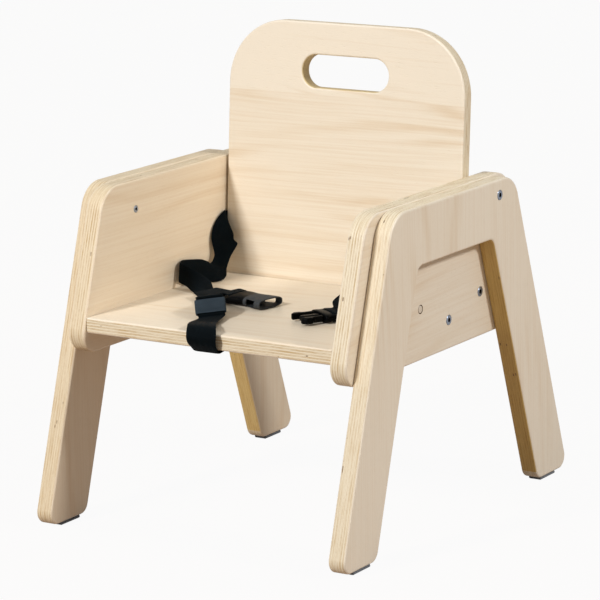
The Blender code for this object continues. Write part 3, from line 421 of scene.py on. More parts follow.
class Sketch:
    """Adds nodes to a tree, in rows, and links or sets each input."""

    def __init__(self, tree):
        self.tree = tree
        self.count = 0

    def node(self, kind, values=None, **settings):
        made = self.tree.nodes.new(kind)
        made.location = (self.count % 10 * 190, -(self.count // 10) * 260)
        self.count += 1
        for name, value in settings.items():
            setattr(made, name, value)
        for key, value in (values or {}).items():
            self.feed(made.inputs[key], value)
        return made

    def feed(self, socket, value):
        if isinstance(value, Wire):
            value = value.socket
        if isinstance(value, bpy.types.NodeSocket):
            self.tree.links.new(value, socket)
        else:
            socket.default_value = value

    def wire(self, kind, values=None, output=0, **settings):
        """One output of a new node."""
        return Wire(self, self.node(kind, values, **settings).outputs[output])

    def math(self, operation, *values, clamp=False):
        return self.wire("ShaderNodeMath", dict(enumerate(values)), operation=operation,
                         use_clamp=clamp)

    def sine(self, turns):
        return self.math("SINE", turns * math.tau)

    def vector(self, x, y, z):
        return self.wire("ShaderNodeCombineXYZ", {0: x, 1: y, 2: z})

    def split(self, vector):
        parts = self.node("ShaderNodeSeparateXYZ", {0: vector}).outputs
        return [Wire(self, part) for part in parts]

    def noise(self, vector, detail=2.0, roughness=0.5):
        return self.wire("ShaderNodeTexNoise", {"Vector": vector, "Scale": 1.0, "Detail": detail,
                                                "Roughness": roughness}, "Fac")

    def band(self, value, low, high, start=0.0, end=1.0):
        """A smooth step from start to end while the value goes from low to high."""
        return self.wire("ShaderNodeMapRange",
                         {"Value": value, "From Min": low, "From Max": high,
                          "To Min": start, "To Max": end}, interpolation_type="SMOOTHSTEP")

    def mix(self, factor, first, second):
        return self.wire("ShaderNodeMix", {0: factor, 6: first, 7: second}, 2,
                         data_type="RGBA", clamp_factor=True)

    def give(self, result, *values):
        """Feed the group's output node in order and return the finished tree."""
        for socket, value in zip(result.inputs, values):
            self.feed(socket, value)
        return self.tree


def start_group(name, inputs, outputs, kind="ShaderNodeTree"):
    """An empty node group, as (sketch, wires from its inputs by name, output node)."""
    tree = bpy.data.node_groups.new(name, kind)
    for label, socket, default in inputs:
        made = tree.interface.new_socket(label, in_out="INPUT", socket_type=socket)
        if default is not None:
            made.default_value = default
    for label, socket in outputs:
        tree.interface.new_socket(label, in_out="OUTPUT", socket_type=socket)
    s = Sketch(tree)
    take = {socket.name: Wire(s, socket) for socket in s.node("NodeGroupInput").outputs}
    return s, take, s.node("NodeGroupOutput")


def plywood_group():
    """Solid plywood: veneers through the thickness, face figure, end grain, glue lines, specks.

    Board Point runs along the face grain in X, across it in Y and through the board in Z.
    """
    if "Plywood" in bpy.data.node_groups:
        return bpy.data.node_groups["Plywood"]
    s, take, result = start_group("Plywood", (
        ("Board Point", VECTOR, None), ("Grain Axis", VECTOR, None),
        ("Thickness", NUMBER, 0.018), ("Layers", NUMBER, 13.0), ("Figure", NUMBER, 7.0),
        ("Contrast", NUMBER, 0.6), ("Seed", NUMBER, 0.0), ("Seam", NUMBER, 10.0),
        ("Roughness", NUMBER, 0.42), ("Face Light", COLOUR, WHITE), ("Face Dark", COLOUR, WHITE),
        ("Edge Light", COLOUR, WHITE), ("Edge Dark", COLOUR, WHITE),
        ("Glue", COLOUR, WHITE)), LOOKS)
    along, across, through = s.split(take["Board Point"])
    seed, layers = take["Seed"], take["Layers"]

    def field(along_scale, across_scale, third, detail=1.0, roughness=0.5):
        point = s.vector(along * along_scale, across * across_scale, third)
        return s.noise(point, detail, roughness)

    # veneers, which wander a little
    level = (through / take["Thickness"] + 0.5) * layers + (field(9.0, 9.0, seed) * 0.16 - 0.08)
    last = layers - 1.0
    layer = s.math("MINIMUM", s.math("MAXIMUM", s.math("FLOOR", level), 0.0), last)
    odd = s.math("MODULO", layer, 2.0)
    line = s.band(abs(level - layer - 0.5), 0.36, 0.5)
    inner = s.math("GREATER_THAN", layer, 0.5) * s.math("LESS_THAN", layer, last - 0.5)
    strip = s.math("GREATER_THAN", across, take["Seam"])
    own = strip * 8.3 + (layer * 3.71 + seed)

    # how far each veneer is cut across its grain
    normal = s.wire("ShaderNodeTexCoord", output="Normal")
    facing = abs(s.wire("ShaderNodeVectorMath", {0: normal, 1: take["Grain Axis"]}, "Value",
                        operation="DOT_PRODUCT"))
    cut_across = odd * (1.0 - facing - facing) + facing

    # figure of the rotary-cut face: contours of a slow field, fine streaks and short flecks
    slow = field(1.7, 8.0, own, 1.6, 0.4)
    rings = field(14.0, 160.0, own) * 0.45 + (slow * take["Figure"] + across * 45.0)
    patchy = field(5.0, 24.0, own, 2.0)
    wave = (s.sine(rings) * 0.5 + 0.5) * s.band(patchy, 0.35, 0.65, 0.15, 1.0)
    streak = s.noise(s.vector(along * 7.0, across * 420.0 + slow * 16.0, own), 3.0, 0.6)
    fleck = s.band(field(170.0, 1500.0, own), 0.60, 0.74)
    tone = field(3.0, 7.0, own, 2.5)
    figure = s.band(streak, 0.35, 0.75) * 0.55 + s.math("POWER", wave, 2.2) * 0.8
    figure = (tone * 1.1 + (figure - 0.5)) * take["Contrast"]
    figure = s.math("ADD", strip * -0.22, figure, clamp=True)
    face = s.mix(figure, take["Face Light"], take["Face Dark"])
    face = s.mix(fleck * 0.12, face, take["Edge Dark"])

    # edges: pale where the cut follows the grain, brown and streaked where it crosses it
    drift = field(38.0, 38.0, through * 700.0 + seed, 3.0, 0.6)
    pores = field(420.0, 420.0, through * 1900.0)
    brown = (s.band(pores, 0.3, 0.8) * 0.35 + s.band(drift, 0.3, 0.7) * 0.7) * cut_across
    pale = s.band(drift, 0.45, 0.8) * 0.30
    shade = s.math("ADD", brown, pale, clamp=True)
    edge = s.mix(shade, take["Edge Light"], take["Edge Dark"])
    edge = s.mix(line * 0.5, edge, take["Glue"])
    hole = s.band(field(95.0, 95.0, own * 1.9), 0.73, 0.78) * 0.8
    edge = s.mix(hole, edge, s.mix(0.35, take["Glue"], SPECK))

    rough = inner * cut_across * 0.16 + (streak * 0.12 + (take["Roughness"] - 0.06))
    relief = fleck * -0.5 + streak * 0.35
    dents = inner * (line * 0.5 + hole * 1.5)
    return s.give(result, s.mix(inner, face, edge), rough, relief - dents)


def wear_group():
    """Fine unevenness for metal, plastic, felt and end grain: a tone, a grit and sparse scuffs."""
    if "Fine wear" in bpy.data.node_groups:
        return bpy.data.node_groups["Fine wear"]
    s, take, result = start_group("Fine wear", (
        ("Point", VECTOR, None), ("Grit Size", NUMBER, 0.0004), ("Roughness", NUMBER, 0.4),
        ("Light", COLOUR, WHITE), ("Dark", COLOUR, BLACK), ("Scuffs", NUMBER, 0.3)), LOOKS)

    def scaled(factor):
        return s.wire("ShaderNodeVectorMath", {0: take["Point"], "Scale": factor},
                      operation="SCALE")

    grit = s.noise(scaled(1.0 / take["Grit Size"]), 2.0)
    broad = s.noise(scaled(140.0), 3.0)
    scuff_point = s.wire("ShaderNodeMapping", {
        "Vector": take["Point"], "Rotation": (0.4, 0.7, 0.5), "Scale": (260.0, 1700.0, 1700.0)})
    scuff = s.band(s.noise(scuff_point, 1.0), 0.60, 0.72) * take["Scuffs"]
    pale = s.math("ADD", broad * 0.8, scuff, clamp=True)
    rough = scuff * 0.3 + (broad * 0.18 + (take["Roughness"] - 0.09))
    return s.give(result, s.mix(pale, take["Dark"], take["Light"]), rough, scuff * -0.6 + grit)


def weave_group():
    """Narrow herringbone webbing, from a UV map in metres along and across the band."""
    if "Webbing weave" in bpy.data.node_groups:
        return bpy.data.node_groups["Webbing weave"]
    s, take, result = start_group("Webbing weave", (
        ("Band Point", VECTOR, None), ("Thread", NUMBER, 0.0013), ("Half Width", NUMBER, 0.013),
        ("Selvage", NUMBER, 0.0016), ("Shade", COLOUR, BLACK), ("Light", COLOUR, WHITE)), LOOKS)
    thread, selvage = take["Thread"], take["Selvage"]
    along, across, _flat = s.split(take["Band Point"])
    rows = along / thread
    zigzag = abs(s.math("FRACT", across / (thread * 4.0)) - 0.5)
    rib = s.sine(zigzag * 4.0 + rows) * 0.5 + 0.5
    ridges = s.sine(across / thread * 2.0) * 0.22 + rib * 0.78
    plain = s.band(take["Half Width"] - abs(across), selvage * 0.8, selvage)
    border = s.sine(rows) * 0.3 + 0.5
    height = ridges * plain + border * (1.0 - plain)
    fuzz = s.noise(s.vector(along * 2600.0, across * 2600.0, 0.0))
    broad = s.noise(s.vector(along * 60.0, across * 90.0, 3.0))
    # Colour follows the thread height: painted highlight on the tops and painted shade in the
    # hollows, over a broad random tone
    light = s.math("POWER", height, 1.5) * (fuzz * 0.7 + 0.25)
    light = s.math("ADD", (broad - 0.5) * 0.5, light, clamp=True)
    return s.give(result, s.mix(light, take["Shade"], take["Light"]), fuzz * 0.25 + 0.5,
                  fuzz * 0.2 + height)


def dressed(name, group, values, relief, point, steady=None):
    """A material whose Principled shader takes colour, roughness and relief from one group."""
    made = bpy.data.materials.new(name)
    made.use_nodes = True
    s = Sketch(made.node_tree)
    inputs = s.tree.nodes["Principled BSDF"].inputs
    looks = s.node("ShaderNodeGroup", node_tree=group)
    for key, value in {0: point(s), **values}.items():
        s.feed(looks.inputs[key], value)
    bump = s.wire("ShaderNodeBump", {"Strength": 1.0, "Distance": relief,
                                     "Height": looks.outputs["Height"]})
    fed = {"Base Color": looks.outputs["Color"], "Roughness": looks.outputs["Roughness"],
           "Normal": bump, **(steady or {})}
    for key, value in fed.items():
        s.feed(inputs[key], value)
    return made


def object_point(s):
    return s.wire("ShaderNodeTexCoord", output="Object")


def full(rgb, share=1.0):
    """A colour with its alpha, darkened to a share."""
    return (*(value * share for value in rgb), 1.0)


def plywood(name, origin, grain, across, thickness, seed, figure, contrast, seam=NO_SEAM,
            shade_tint=(1, 1, 1)):
    """Plywood for one board, from a point in its middle plane, its grain and cross directions."""
    settings = bpy.context.scene.chair_plywood
    through = Vector(grain).cross(Vector(across))
    turn = Matrix((grain, across, through)).transposed().to_euler()

    def board_point(s):
        return s.wire("ShaderNodeMapping", {"Vector": object_point(s), "Location": origin,
                                            "Rotation": turn}, vector_type="TEXTURE")

    layers = round(thickness / settings.layer)
    layers += 1 - layers % 2
    values = {"Grain Axis": grain, "Thickness": thickness, "Layers": layers, "Figure": figure,
              "Contrast": contrast, "Seed": seed, "Seam": seam, "Roughness": settings.roughness}
    # The shade tint darkens every colour of this plywood: painted shade
    for label in ("Face Light", "Face Dark", "Edge Light", "Edge Dark", "Glue"):
        tone = getattr(settings, label.lower().replace(" ", "_"))
        values[label] = full(value * share for value, share in zip(tone, shade_tint))
    return dressed(name, plywood_group(), values, relief=0.00012, point=board_point,
                   steady={"Coat Weight": 0.05, "Coat Roughness": 0.5})


def worn(name, tone, dark_share, roughness, grit, scuffs, relief, steady=None):
    """A material of one tone with fine wear, made once."""
    if name in bpy.data.materials:
        return bpy.data.materials[name]
    values = {"Grit Size": grit, "Roughness": roughness, "Light": full(tone),
              "Dark": full(tone, dark_share), "Scuffs": scuffs}
    return dressed(name, wear_group(), values, relief, object_point, steady)


def zinc():
    tone = bpy.context.scene.chair_fixings.zinc
    return worn("zinc_plating", tone, dark_share=0.6, roughness=0.38, grit=0.0003, scuffs=0.2,
                relief=0.00003, steady={"Metallic": 0.9})


def buckle_plastic(name="buckle_plastic", specular=0.17):
    """Moulded plastic, satin or matte; the matte copy is also painted shade on the female's rear.
    """
    settings = bpy.context.scene.chair_harness
    return worn(name, settings.plastic, dark_share=0.55, roughness=settings.plastic_roughness,
                grit=0.00035, scuffs=0.35, relief=0.00002,
                steady={"Specular IOR Level": specular})


# Matte plastic: the male half's own finish, and painted shade on the female half's rear
def matte_and_shade_plastic():
    return buckle_plastic("buckle_plastic_matte", 0.04)


def webbing_cloth(name, shade, light):
    settings = bpy.context.scene.chair_harness
    values = {"Thread": settings.thread, "Half Width": WEBBING_WIDTH / 2,
              "Selvage": settings.selvage, "Shade": full(shade), "Light": full(light)}
    return dressed(name, weave_group(), values, relief=0.00025,
                   point=lambda s: s.wire("ShaderNodeUVMap", uv_map="band"),
                   steady={"Sheen Weight": 0.015, "Sheen Roughness": 0.4,
                           "Sheen Tint": (0.7, 0.85, 1.0, 1.0), "Specular IOR Level": 0.04})


# ---------------------------------------------------------------- shapes


def add_object(name, mesh):
    obj = bpy.data.objects.new(name, mesh)
    bpy.context.scene.collection.objects.link(obj)
    return obj


def finish_shell(shell, mesh):
    shell.to_mesh(mesh)
    shell.free()
    return mesh


def solid(name, shell, place):
    """An object from the faces of shell, turned outwards."""
    bmesh.ops.recalc_face_normals(shell, faces=shell.faces)
    obj = add_object(name, finish_shell(shell, bpy.data.meshes.new(name)))
    obj.matrix_world = place
    return obj


def apply_modifiers(obj):
    """Put what the modifiers make of obj into its own mesh."""
    bpy.context.view_layer.update()
    depsgraph = bpy.context.evaluated_depsgraph_get()
    mesh = bpy.data.meshes.new_from_object(obj.evaluated_get(depsgraph), depsgraph=depsgraph)
    obj.modifiers.clear()
    old = obj.data
    obj.data = mesh
    if old.users == 0:
        bpy.data.meshes.remove(old)


def settle(obj, sharp=SHARP_ANGLE, weighted=True):
    """Apply modifiers and place, and shade the mesh smooth between its sharp edges."""
    apply_modifiers(obj)
    obj.data.transform(obj.matrix_world)
    obj.matrix_world = Matrix.Identity(4)
    shell = bmesh.new()
    shell.from_mesh(obj.data)
    bmesh.ops.remove_doubles(shell, verts=shell.verts, dist=MERGE_DISTANCE)
    for face in shell.faces:
        face.smooth = True
    for edge in shell.edges:
        edge.smooth = len(edge.link_faces) == 2 and edge.calc_face_angle(0) < sharp
    finish_shell(shell, obj.data)
    if weighted:
        even = obj.modifiers.new("even faces", "WEIGHTED_NORMAL")
        even.keep_sharp = True
        even.weight = 100
        apply_modifiers(obj)
    obj.data.name = obj.name
    return obj


def paint(obj, *materials):
    obj.data.materials.clear()
    for made in materials:
        obj.data.materials.append(made)


def hand_over(obj, body, slot, *nodes):
    """Put obj on the body it rides on and hide the nodes it stands for. The slot argument is not
    used.
    """
    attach(obj, body)
    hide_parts(*nodes)


def fillet(corner, before, after, radius):
    """Points of the arc that rounds one corner of an outline."""
    to_before = (before - corner).normalized()
    to_after = (after - corner).normalized()
    half = to_before.angle(to_after) / 2
    run = min(radius / math.tan(half), (before - corner).length / 2, (after - corner).length / 2)
    radius = run * math.tan(half)
    centre = corner + (to_before + to_after).normalized() * (radius / math.sin(half))
    first = corner + to_before * run - centre
    turn = math.pi - 2 * half
    steps = max(3, round(turn / ARC_STEP))
    sign = 1 if first.cross(corner + to_after * run - centre) > 0 else -1
    points = []
    for step in range(steps + 1):
        cos, sin = (way(sign * turn * step / steps) for way in (math.cos, math.sin))
        points.append(centre + Vector((first.x * cos - first.y * sin,
                                       first.x * sin + first.y * cos)))
    return points


def rounded(corners):
    """A closed outline from (u, v, radius) corners."""
    points = []
    for index, (u, v, radius) in enumerate(corners):
        before = Vector(corners[index - 1][:2])
        after = Vector(corners[(index + 1) % len(corners)][:2])
        points.extend(fillet(Vector((u, v)), before, after, radius) if radius else [Vector((u, v))])
    return points


def flat_board(name, outlines, thickness, place):
    """A board cut to one outline, with any further outlines as holes through it."""
    curve = bpy.data.curves.new(name, "CURVE")
    curve.dimensions = "2D"
    curve.fill_mode = "BOTH"
    curve.extrude = thickness / 2
    for outline in outlines:
        spline = curve.splines.new("POLY")
        spline.points.add(len(outline) - 1)
        for point, spot in zip(spline.points, outline):
            point.co = (spot.x, spot.y, 0, 1)
        spline.use_cyclic_u = True
    source = add_object(name, curve)
    bpy.context.view_layer.update()
    depsgraph = bpy.context.evaluated_depsgraph_get()
    mesh = bpy.data.meshes.new_from_object(source.evaluated_get(depsgraph))
    shell = bmesh.new()
    shell.from_mesh(mesh)
    bmesh.ops.remove_doubles(shell, verts=shell.verts, dist=MERGE_DISTANCE)
    bmesh.ops.recalc_face_normals(shell, faces=shell.faces)
    bmesh.ops.dissolve_limit(shell, angle_limit=FLAT_ANGLE, verts=[], edges=shell.edges)
    bpy.data.objects.remove(source)
    obj = add_object(name, finish_shell(shell, mesh))
    obj.matrix_world = place
    return obj


def round_edges(obj, width, segments=4, angle=50):
    bevel = obj.modifiers.new("rounded edges", "BEVEL")
    bevel.width = width
    bevel.segments = segments
    bevel.limit_method = "ANGLE"
    bevel.angle_limit = math.radians(angle)
    bevel.use_clamp_overlap = False


def cut(obj, cutter, operation="DIFFERENCE"):
    boolean = obj.modifiers.new(cutter.name, "BOOLEAN")
    boolean.operation = operation
    boolean.solver = "EXACT"
    boolean.object = cutter
    cutter.hide_render = True
    return cutter


def aimed(position, direction):
    turn = Vector((0, 0, 1)).rotation_difference(Vector(direction)).to_matrix().to_4x4()
    return Matrix.Translation(position) @ turn


def side_plane(x):
    """Outline axes u, v to world Y, Z at the plane of x."""
    turn = Matrix(((0, 0, 1, 0), (1, 0, 0, 0), (0, 1, 0, 0), (0, 0, 0, 1)))
    return Matrix.Translation((x, 0, 0)) @ turn


def turned(name, profile, place, sides=40):
    """A solid of revolution about Z from (radius, height) points, run down its outer side."""
    shell = bmesh.new()
    rings = []
    for radius, height in profile:
        if radius == 0:
            rings.append([shell.verts.new((0, 0, height))])
        else:
            rings.append([shell.verts.new((radius * math.cos(math.tau * i / sides),
                                           radius * math.sin(math.tau * i / sides), height))
                          for i in range(sides)])
    for first, second in zip(rings, rings[1:]):
        for i in range(sides):
            corners = [first[i % len(first)], second[i % len(second)],
                       second[(i + 1) % len(second)], first[(i + 1) % len(first)]]
            shell.faces.new(list(dict.fromkeys(corners)))
    return solid(name, shell, place)


def rake_line(rake):
    """Height-to-reach function of a frame's outer edge."""
    foot = (LEG_BOTTOM + FOOT_RADIUS) * math.tan(rake) + FOOT_RADIUS / math.cos(rake)
    reach = CHAIR_DEPTH / 2 + foot - FOOT_RADIUS
    return lambda height: reach - height * math.tan(rake)


front_reach = rake_line(FRONT_RAKE)
rear_reach = rake_line(REAR_RAKE)


def frame_outline():
    front_width = LEG_WIDTH / math.cos(FRONT_RAKE)
    rear_width = LEG_WIDTH / math.cos(REAR_RAKE)
    return rounded((
        (-front_reach(LEG_BOTTOM), LEG_BOTTOM, FOOT_RADIUS),
        (-front_reach(LEG_BOTTOM) + front_width, LEG_BOTTOM, FOOT_RADIUS),
        (-front_reach(ARCH_HEIGHT) + front_width, ARCH_HEIGHT, ARCH_RADIUS),
        (rear_reach(ARCH_HEIGHT) - rear_width, ARCH_HEIGHT, ARCH_RADIUS),
        (rear_reach(LEG_BOTTOM) - rear_width, LEG_BOTTOM, FOOT_RADIUS),
        (rear_reach(LEG_BOTTOM), LEG_BOTTOM, FOOT_RADIUS),
        (rear_reach(ARM_HEIGHT), ARM_HEIGHT, FRAME_TOP_RADIUS),
        (-front_reach(ARM_HEIGHT), ARM_HEIGHT, FRAME_TOP_RADIUS),
    ))


def panel_outline():
    return rounded((
        (-front_reach(PANEL_BOTTOM) - PANEL_FRONT_REACH, PANEL_BOTTOM, PANEL_BOTTOM_RADIUS),
        (rear_reach(PANEL_BOTTOM) + PANEL_REAR_REACH, PANEL_BOTTOM, PANEL_BOTTOM_RADIUS),
        (rear_reach(ARM_HEIGHT) + PANEL_REAR_REACH, ARM_HEIGHT, PANEL_TOP_RADIUS),
        (-front_reach(ARM_HEIGHT) - PANEL_FRONT_REACH, ARM_HEIGHT, PANEL_TOP_RADIUS),
    ))


def seat_outline():
    rear = SEAT_FRONT + SEAT_DEPTH
    return rounded((
        (SEAT_FRONT, BACK_BOTTOM, SEAT_EDGE_ROUND),
        (rear, BACK_BOTTOM, 0),
        (rear, SEAT_HEIGHT, 0),
        (SEAT_FRONT, SEAT_HEIGHT, SEAT_EDGE_ROUND),
    ))


def back_point(x, height, depth):
    """A point at a height over the floor, depth behind the back board's front face."""
    rise = height - SEAT_HEIGHT
    return Vector((x, BACK_LINE + rise * math.tan(BACK_LEAN), height)) + BACK_REARWARD * depth


def back_outlines():
    tall = (BACK_HEIGHT - BACK_BOTTOM) / math.cos(BACK_LEAN)
    half = BACK_HALF_WIDTH
    board = rounded(((-half, 0, 0), (half, 0, 0), (half, tall, BACK_TOP_RADIUS),
                     (-half, tall, BACK_TOP_RADIUS)))
    middle = tall - HANDLE_DROP
    end = HANDLE_HEIGHT / 2
    wide = HANDLE_WIDTH / 2
    slot = rounded(((-wide, middle - end, end), (wide, middle - end, end),
                    (wide, middle + end, end), (-wide, middle + end, end)))
    return board, slot


def back_place():
    columns = Matrix((Vector((1, 0, 0)), BACK_UP, -BACK_REARWARD)).transposed().to_4x4()
    return Matrix.Translation(back_point(0, BACK_BOTTOM, BACK_THICKNESS / 2)) @ columns


def screw_places():
    """Board, head centre, outward direction and size share of each countersunk screw."""
    places = []
    middle = BACK_THICKNESS / 2
    high = back_point(0, ARM_HEIGHT - FRAME_SCREW_DROP, middle)
    low = back_point(0, SEAT_HEIGHT + BACK_SCREW_RISE, middle)
    arm = ARM_HEIGHT - ARM_SCREW_DROP
    arm_y = ARM_SCREW_INSET - front_reach(arm)
    for side in (-1, 1):
        out = Vector((side, 0, 0))
        places.append(("frame", Vector((side * FRAME_OUTER, high.y, high.z)), out, 1.0))
        places.append(("panel", Vector((side * PANEL_OUTER, low.y, low.z)), out, 1.0))
        for inset in SEAT_SCREW_INSETS:
            spot = Vector((side * PANEL_OUTER, SEAT_FRONT + inset,
                           SEAT_HEIGHT - SEAT_THICKNESS / 2))
            places.append(("panel", spot, out, 1.0))
        places.append(("panel", Vector((side * HALF_CLEAR, arm_y, arm)), -out, SMALL_SCREW_SHARE))
    return places


def plug_place(side):
    spot = Vector((side * PANEL_OUTER, SEAT_FRONT + PLUG_INSET, SEAT_HEIGHT + PLUG_RISE))
    return aimed(spot, (side, 0, 0))


def countersinks(obj, board, side):
    """Cut the seats of this board's screws, and of its plug if it is a panel."""
    holes = []
    for kind, spot, out, size in screw_places():
        if kind == board and (spot.x > 0) == (side > 0):
            wide, deep = (part * size + ease for part, ease in zip(SCREW_HEAD, COUNTERSINK_EASE))
            profile = ((0, OVERCUT), (wide, OVERCUT), (wide, -FIT_GAP),
                       (wide * COUNTERSINK_FLOOR_SHARE, -deep), (0, -deep))
            holes.append(turned("countersink", profile, aimed(spot, out)))
    if board == "panel":
        wide, deep = PLUG_RADIUS + PLUG_HOLE_EASE, PLUG_DEPTH + PLUG_HOLE_EASE
        profile = ((0, OVERCUT), (wide, OVERCUT), (wide, -deep), (0, -deep))
        holes.append(turned("plug_hole", profile, plug_place(side)))
    return [cut(obj, hole) for hole in holes]


def clear_away(objects):
    for obj in objects:
        mesh = obj.data
        bpy.data.objects.remove(obj)
        if mesh.users == 0:
            bpy.data.meshes.remove(mesh)


def in_arch(centre, normal):
    """True for the cut edges inside a leg frame's arch, which take the painted arch shade."""
    front = -front_reach(centre.z) + LEG_WIDTH / math.cos(FRONT_RAKE)
    rear = rear_reach(centre.z) - LEG_WIDTH / math.cos(REAR_RAKE)
    high = LEG_BOTTOM + FOOT_RADIUS < centre.z < ARCH_HEIGHT + FACE_MARGIN
    return (high and abs(normal.x) < SIDEWAYS
            and front - FACE_MARGIN < centre.y < rear + FACE_MARGIN)


def in_plug_hole(centre, normal):
    """True for the walls of the hole round a plug, which take the painted bore shade."""
    off = math.hypot(centre.y - SEAT_FRONT - PLUG_INSET, centre.z - SEAT_HEIGHT - PLUG_RISE)
    deep = HALF_CLEAR + FIT_GAP < abs(centre.x) < PANEL_OUTER - FIT_GAP / 2
    return off < 2 * PLUG_RADIUS and deep


def in_hand_slot(centre, normal):
    """True for the cut edges inside the back board's hand slot, which take the painted slot shade.
    """
    middle = BACK_HEIGHT - HANDLE_DROP
    high = abs(centre.z - middle) < HANDLE_HEIGHT / 2 + SLOT_MARGIN
    return (high and abs(normal.dot(BACK_REARWARD)) < SIDEWAYS
            and abs(centre.x) < HANDLE_WIDTH / 2 + FACE_MARGIN)


class CHAIR_OT_boards(bpy.types.Operator):
    """Make the two leg frames, the two side panels, the seat and the back board"""

    bl_idname = "chair.boards"
    bl_label = "Boards"

    def execute(self, context):
        settings = context.scene.chair_plywood
        for number, (label, side) in enumerate((("left", -1), ("right", 1))):
            # Boards of the left side are tinted darker: painted shade
            tone = settings.left_shade if side < 0 else (1, 1, 1)
            # The arch's cut edges get the frame's plywood tinted darker and browner: painted shade
            arch_shade_tone = settings.arch_shade_left if side < 0 else settings.arch_shade
            x = side * (FRAME_INNER + FRAME_OUTER) / 2
            obj = flat_board(label + "_leg_frame_board", (frame_outline(),), FRAME_THICKNESS,
                             side_plane(x))
            round_edges(obj, settings.frame_edge)
            wood = dict(origin=(x, 0, 0), grain=(0, 0, 1), across=(0, 1, 0),
                        thickness=FRAME_THICKNESS, seed=11.3 + number * 5, figure=9.0,
                        contrast=0.36)
            self.finish(obj, countersinks(obj, "frame", side), label + "_leg_frame",
                        plywood(label + "_frame_plywood", shade_tint=tone, **wood),
                        plywood(label + "_arch_plywood", shade_tint=arch_shade_tone, **wood), in_arch)
            x = side * (HALF_CLEAR + PANEL_OUTER) / 2
            wood = dict(origin=(x, 0, SEAT_HEIGHT), grain=(0, 1, 0), across=(0, 0, 1),
                        thickness=PANEL_THICKNESS, seed=23.7 + number * 7, figure=10.0,
                        contrast=0.42)
            obj = flat_board(label + "_side_panel_board", (panel_outline(),), PANEL_THICKNESS,
                             side_plane(x))
            round_edges(obj, settings.panel_edge)
            self.finish(obj, countersinks(obj, "panel", side), label + "_side_panel",
                        plywood(label + "_panel_plywood", shade_tint=tone, **wood),
                        plywood(label + "_bore_plywood", shade_tint=settings.bore, **wood),
                        in_plug_hole)
        width = 2 * (HALF_CLEAR - FIT_GAP)
        obj = flat_board("seat_board_panel", (seat_outline(),), width, side_plane(0))
        middle = (0, 0, SEAT_HEIGHT - SEAT_THICKNESS / 2)
        self.finish(obj, (), "seat_board", plywood(
            "seat_plywood", origin=middle, grain=(1, 0, 0), across=(0, 1, 0),
            thickness=SEAT_THICKNESS, seed=41.0, figure=8.0, contrast=0.34))
        place = back_place()
        obj = flat_board("back_board_panel", back_outlines(), BACK_THICKNESS, place)
        round_edges(obj, settings.panel_edge)
        wood = dict(origin=tuple(place.translation), grain=(1, 0, 0), across=tuple(BACK_UP),
                    thickness=BACK_THICKNESS, seed=57.0, figure=13.0, contrast=0.55,
                    seam=(BACK_SEAM_HEIGHT - BACK_BOTTOM) / math.cos(BACK_LEAN))
        # The hand slot's cut edges get the back's plywood tinted as painted shade
        self.finish(obj, (), "back_board", plywood("back_plywood", **wood),
                    plywood("hand_slot_plywood", shade_tint=settings.slot_shade, **wood), in_hand_slot)
        return {"FINISHED"}

    def finish(self, obj, cutters, node, material, second=None, inside=None):
        """Settle a board and give its second material, a copy tinted as painted shade, to the faces
        that inside picks.
        """
        settle(obj)
        clear_away(cutters)
        paint(obj, *filter(None, (material, second)))
        for face in obj.data.polygons if second else ():
            face.material_index = int(inside(face.center, face.normal))
        hand_over(obj, "chair", "plywood", node)


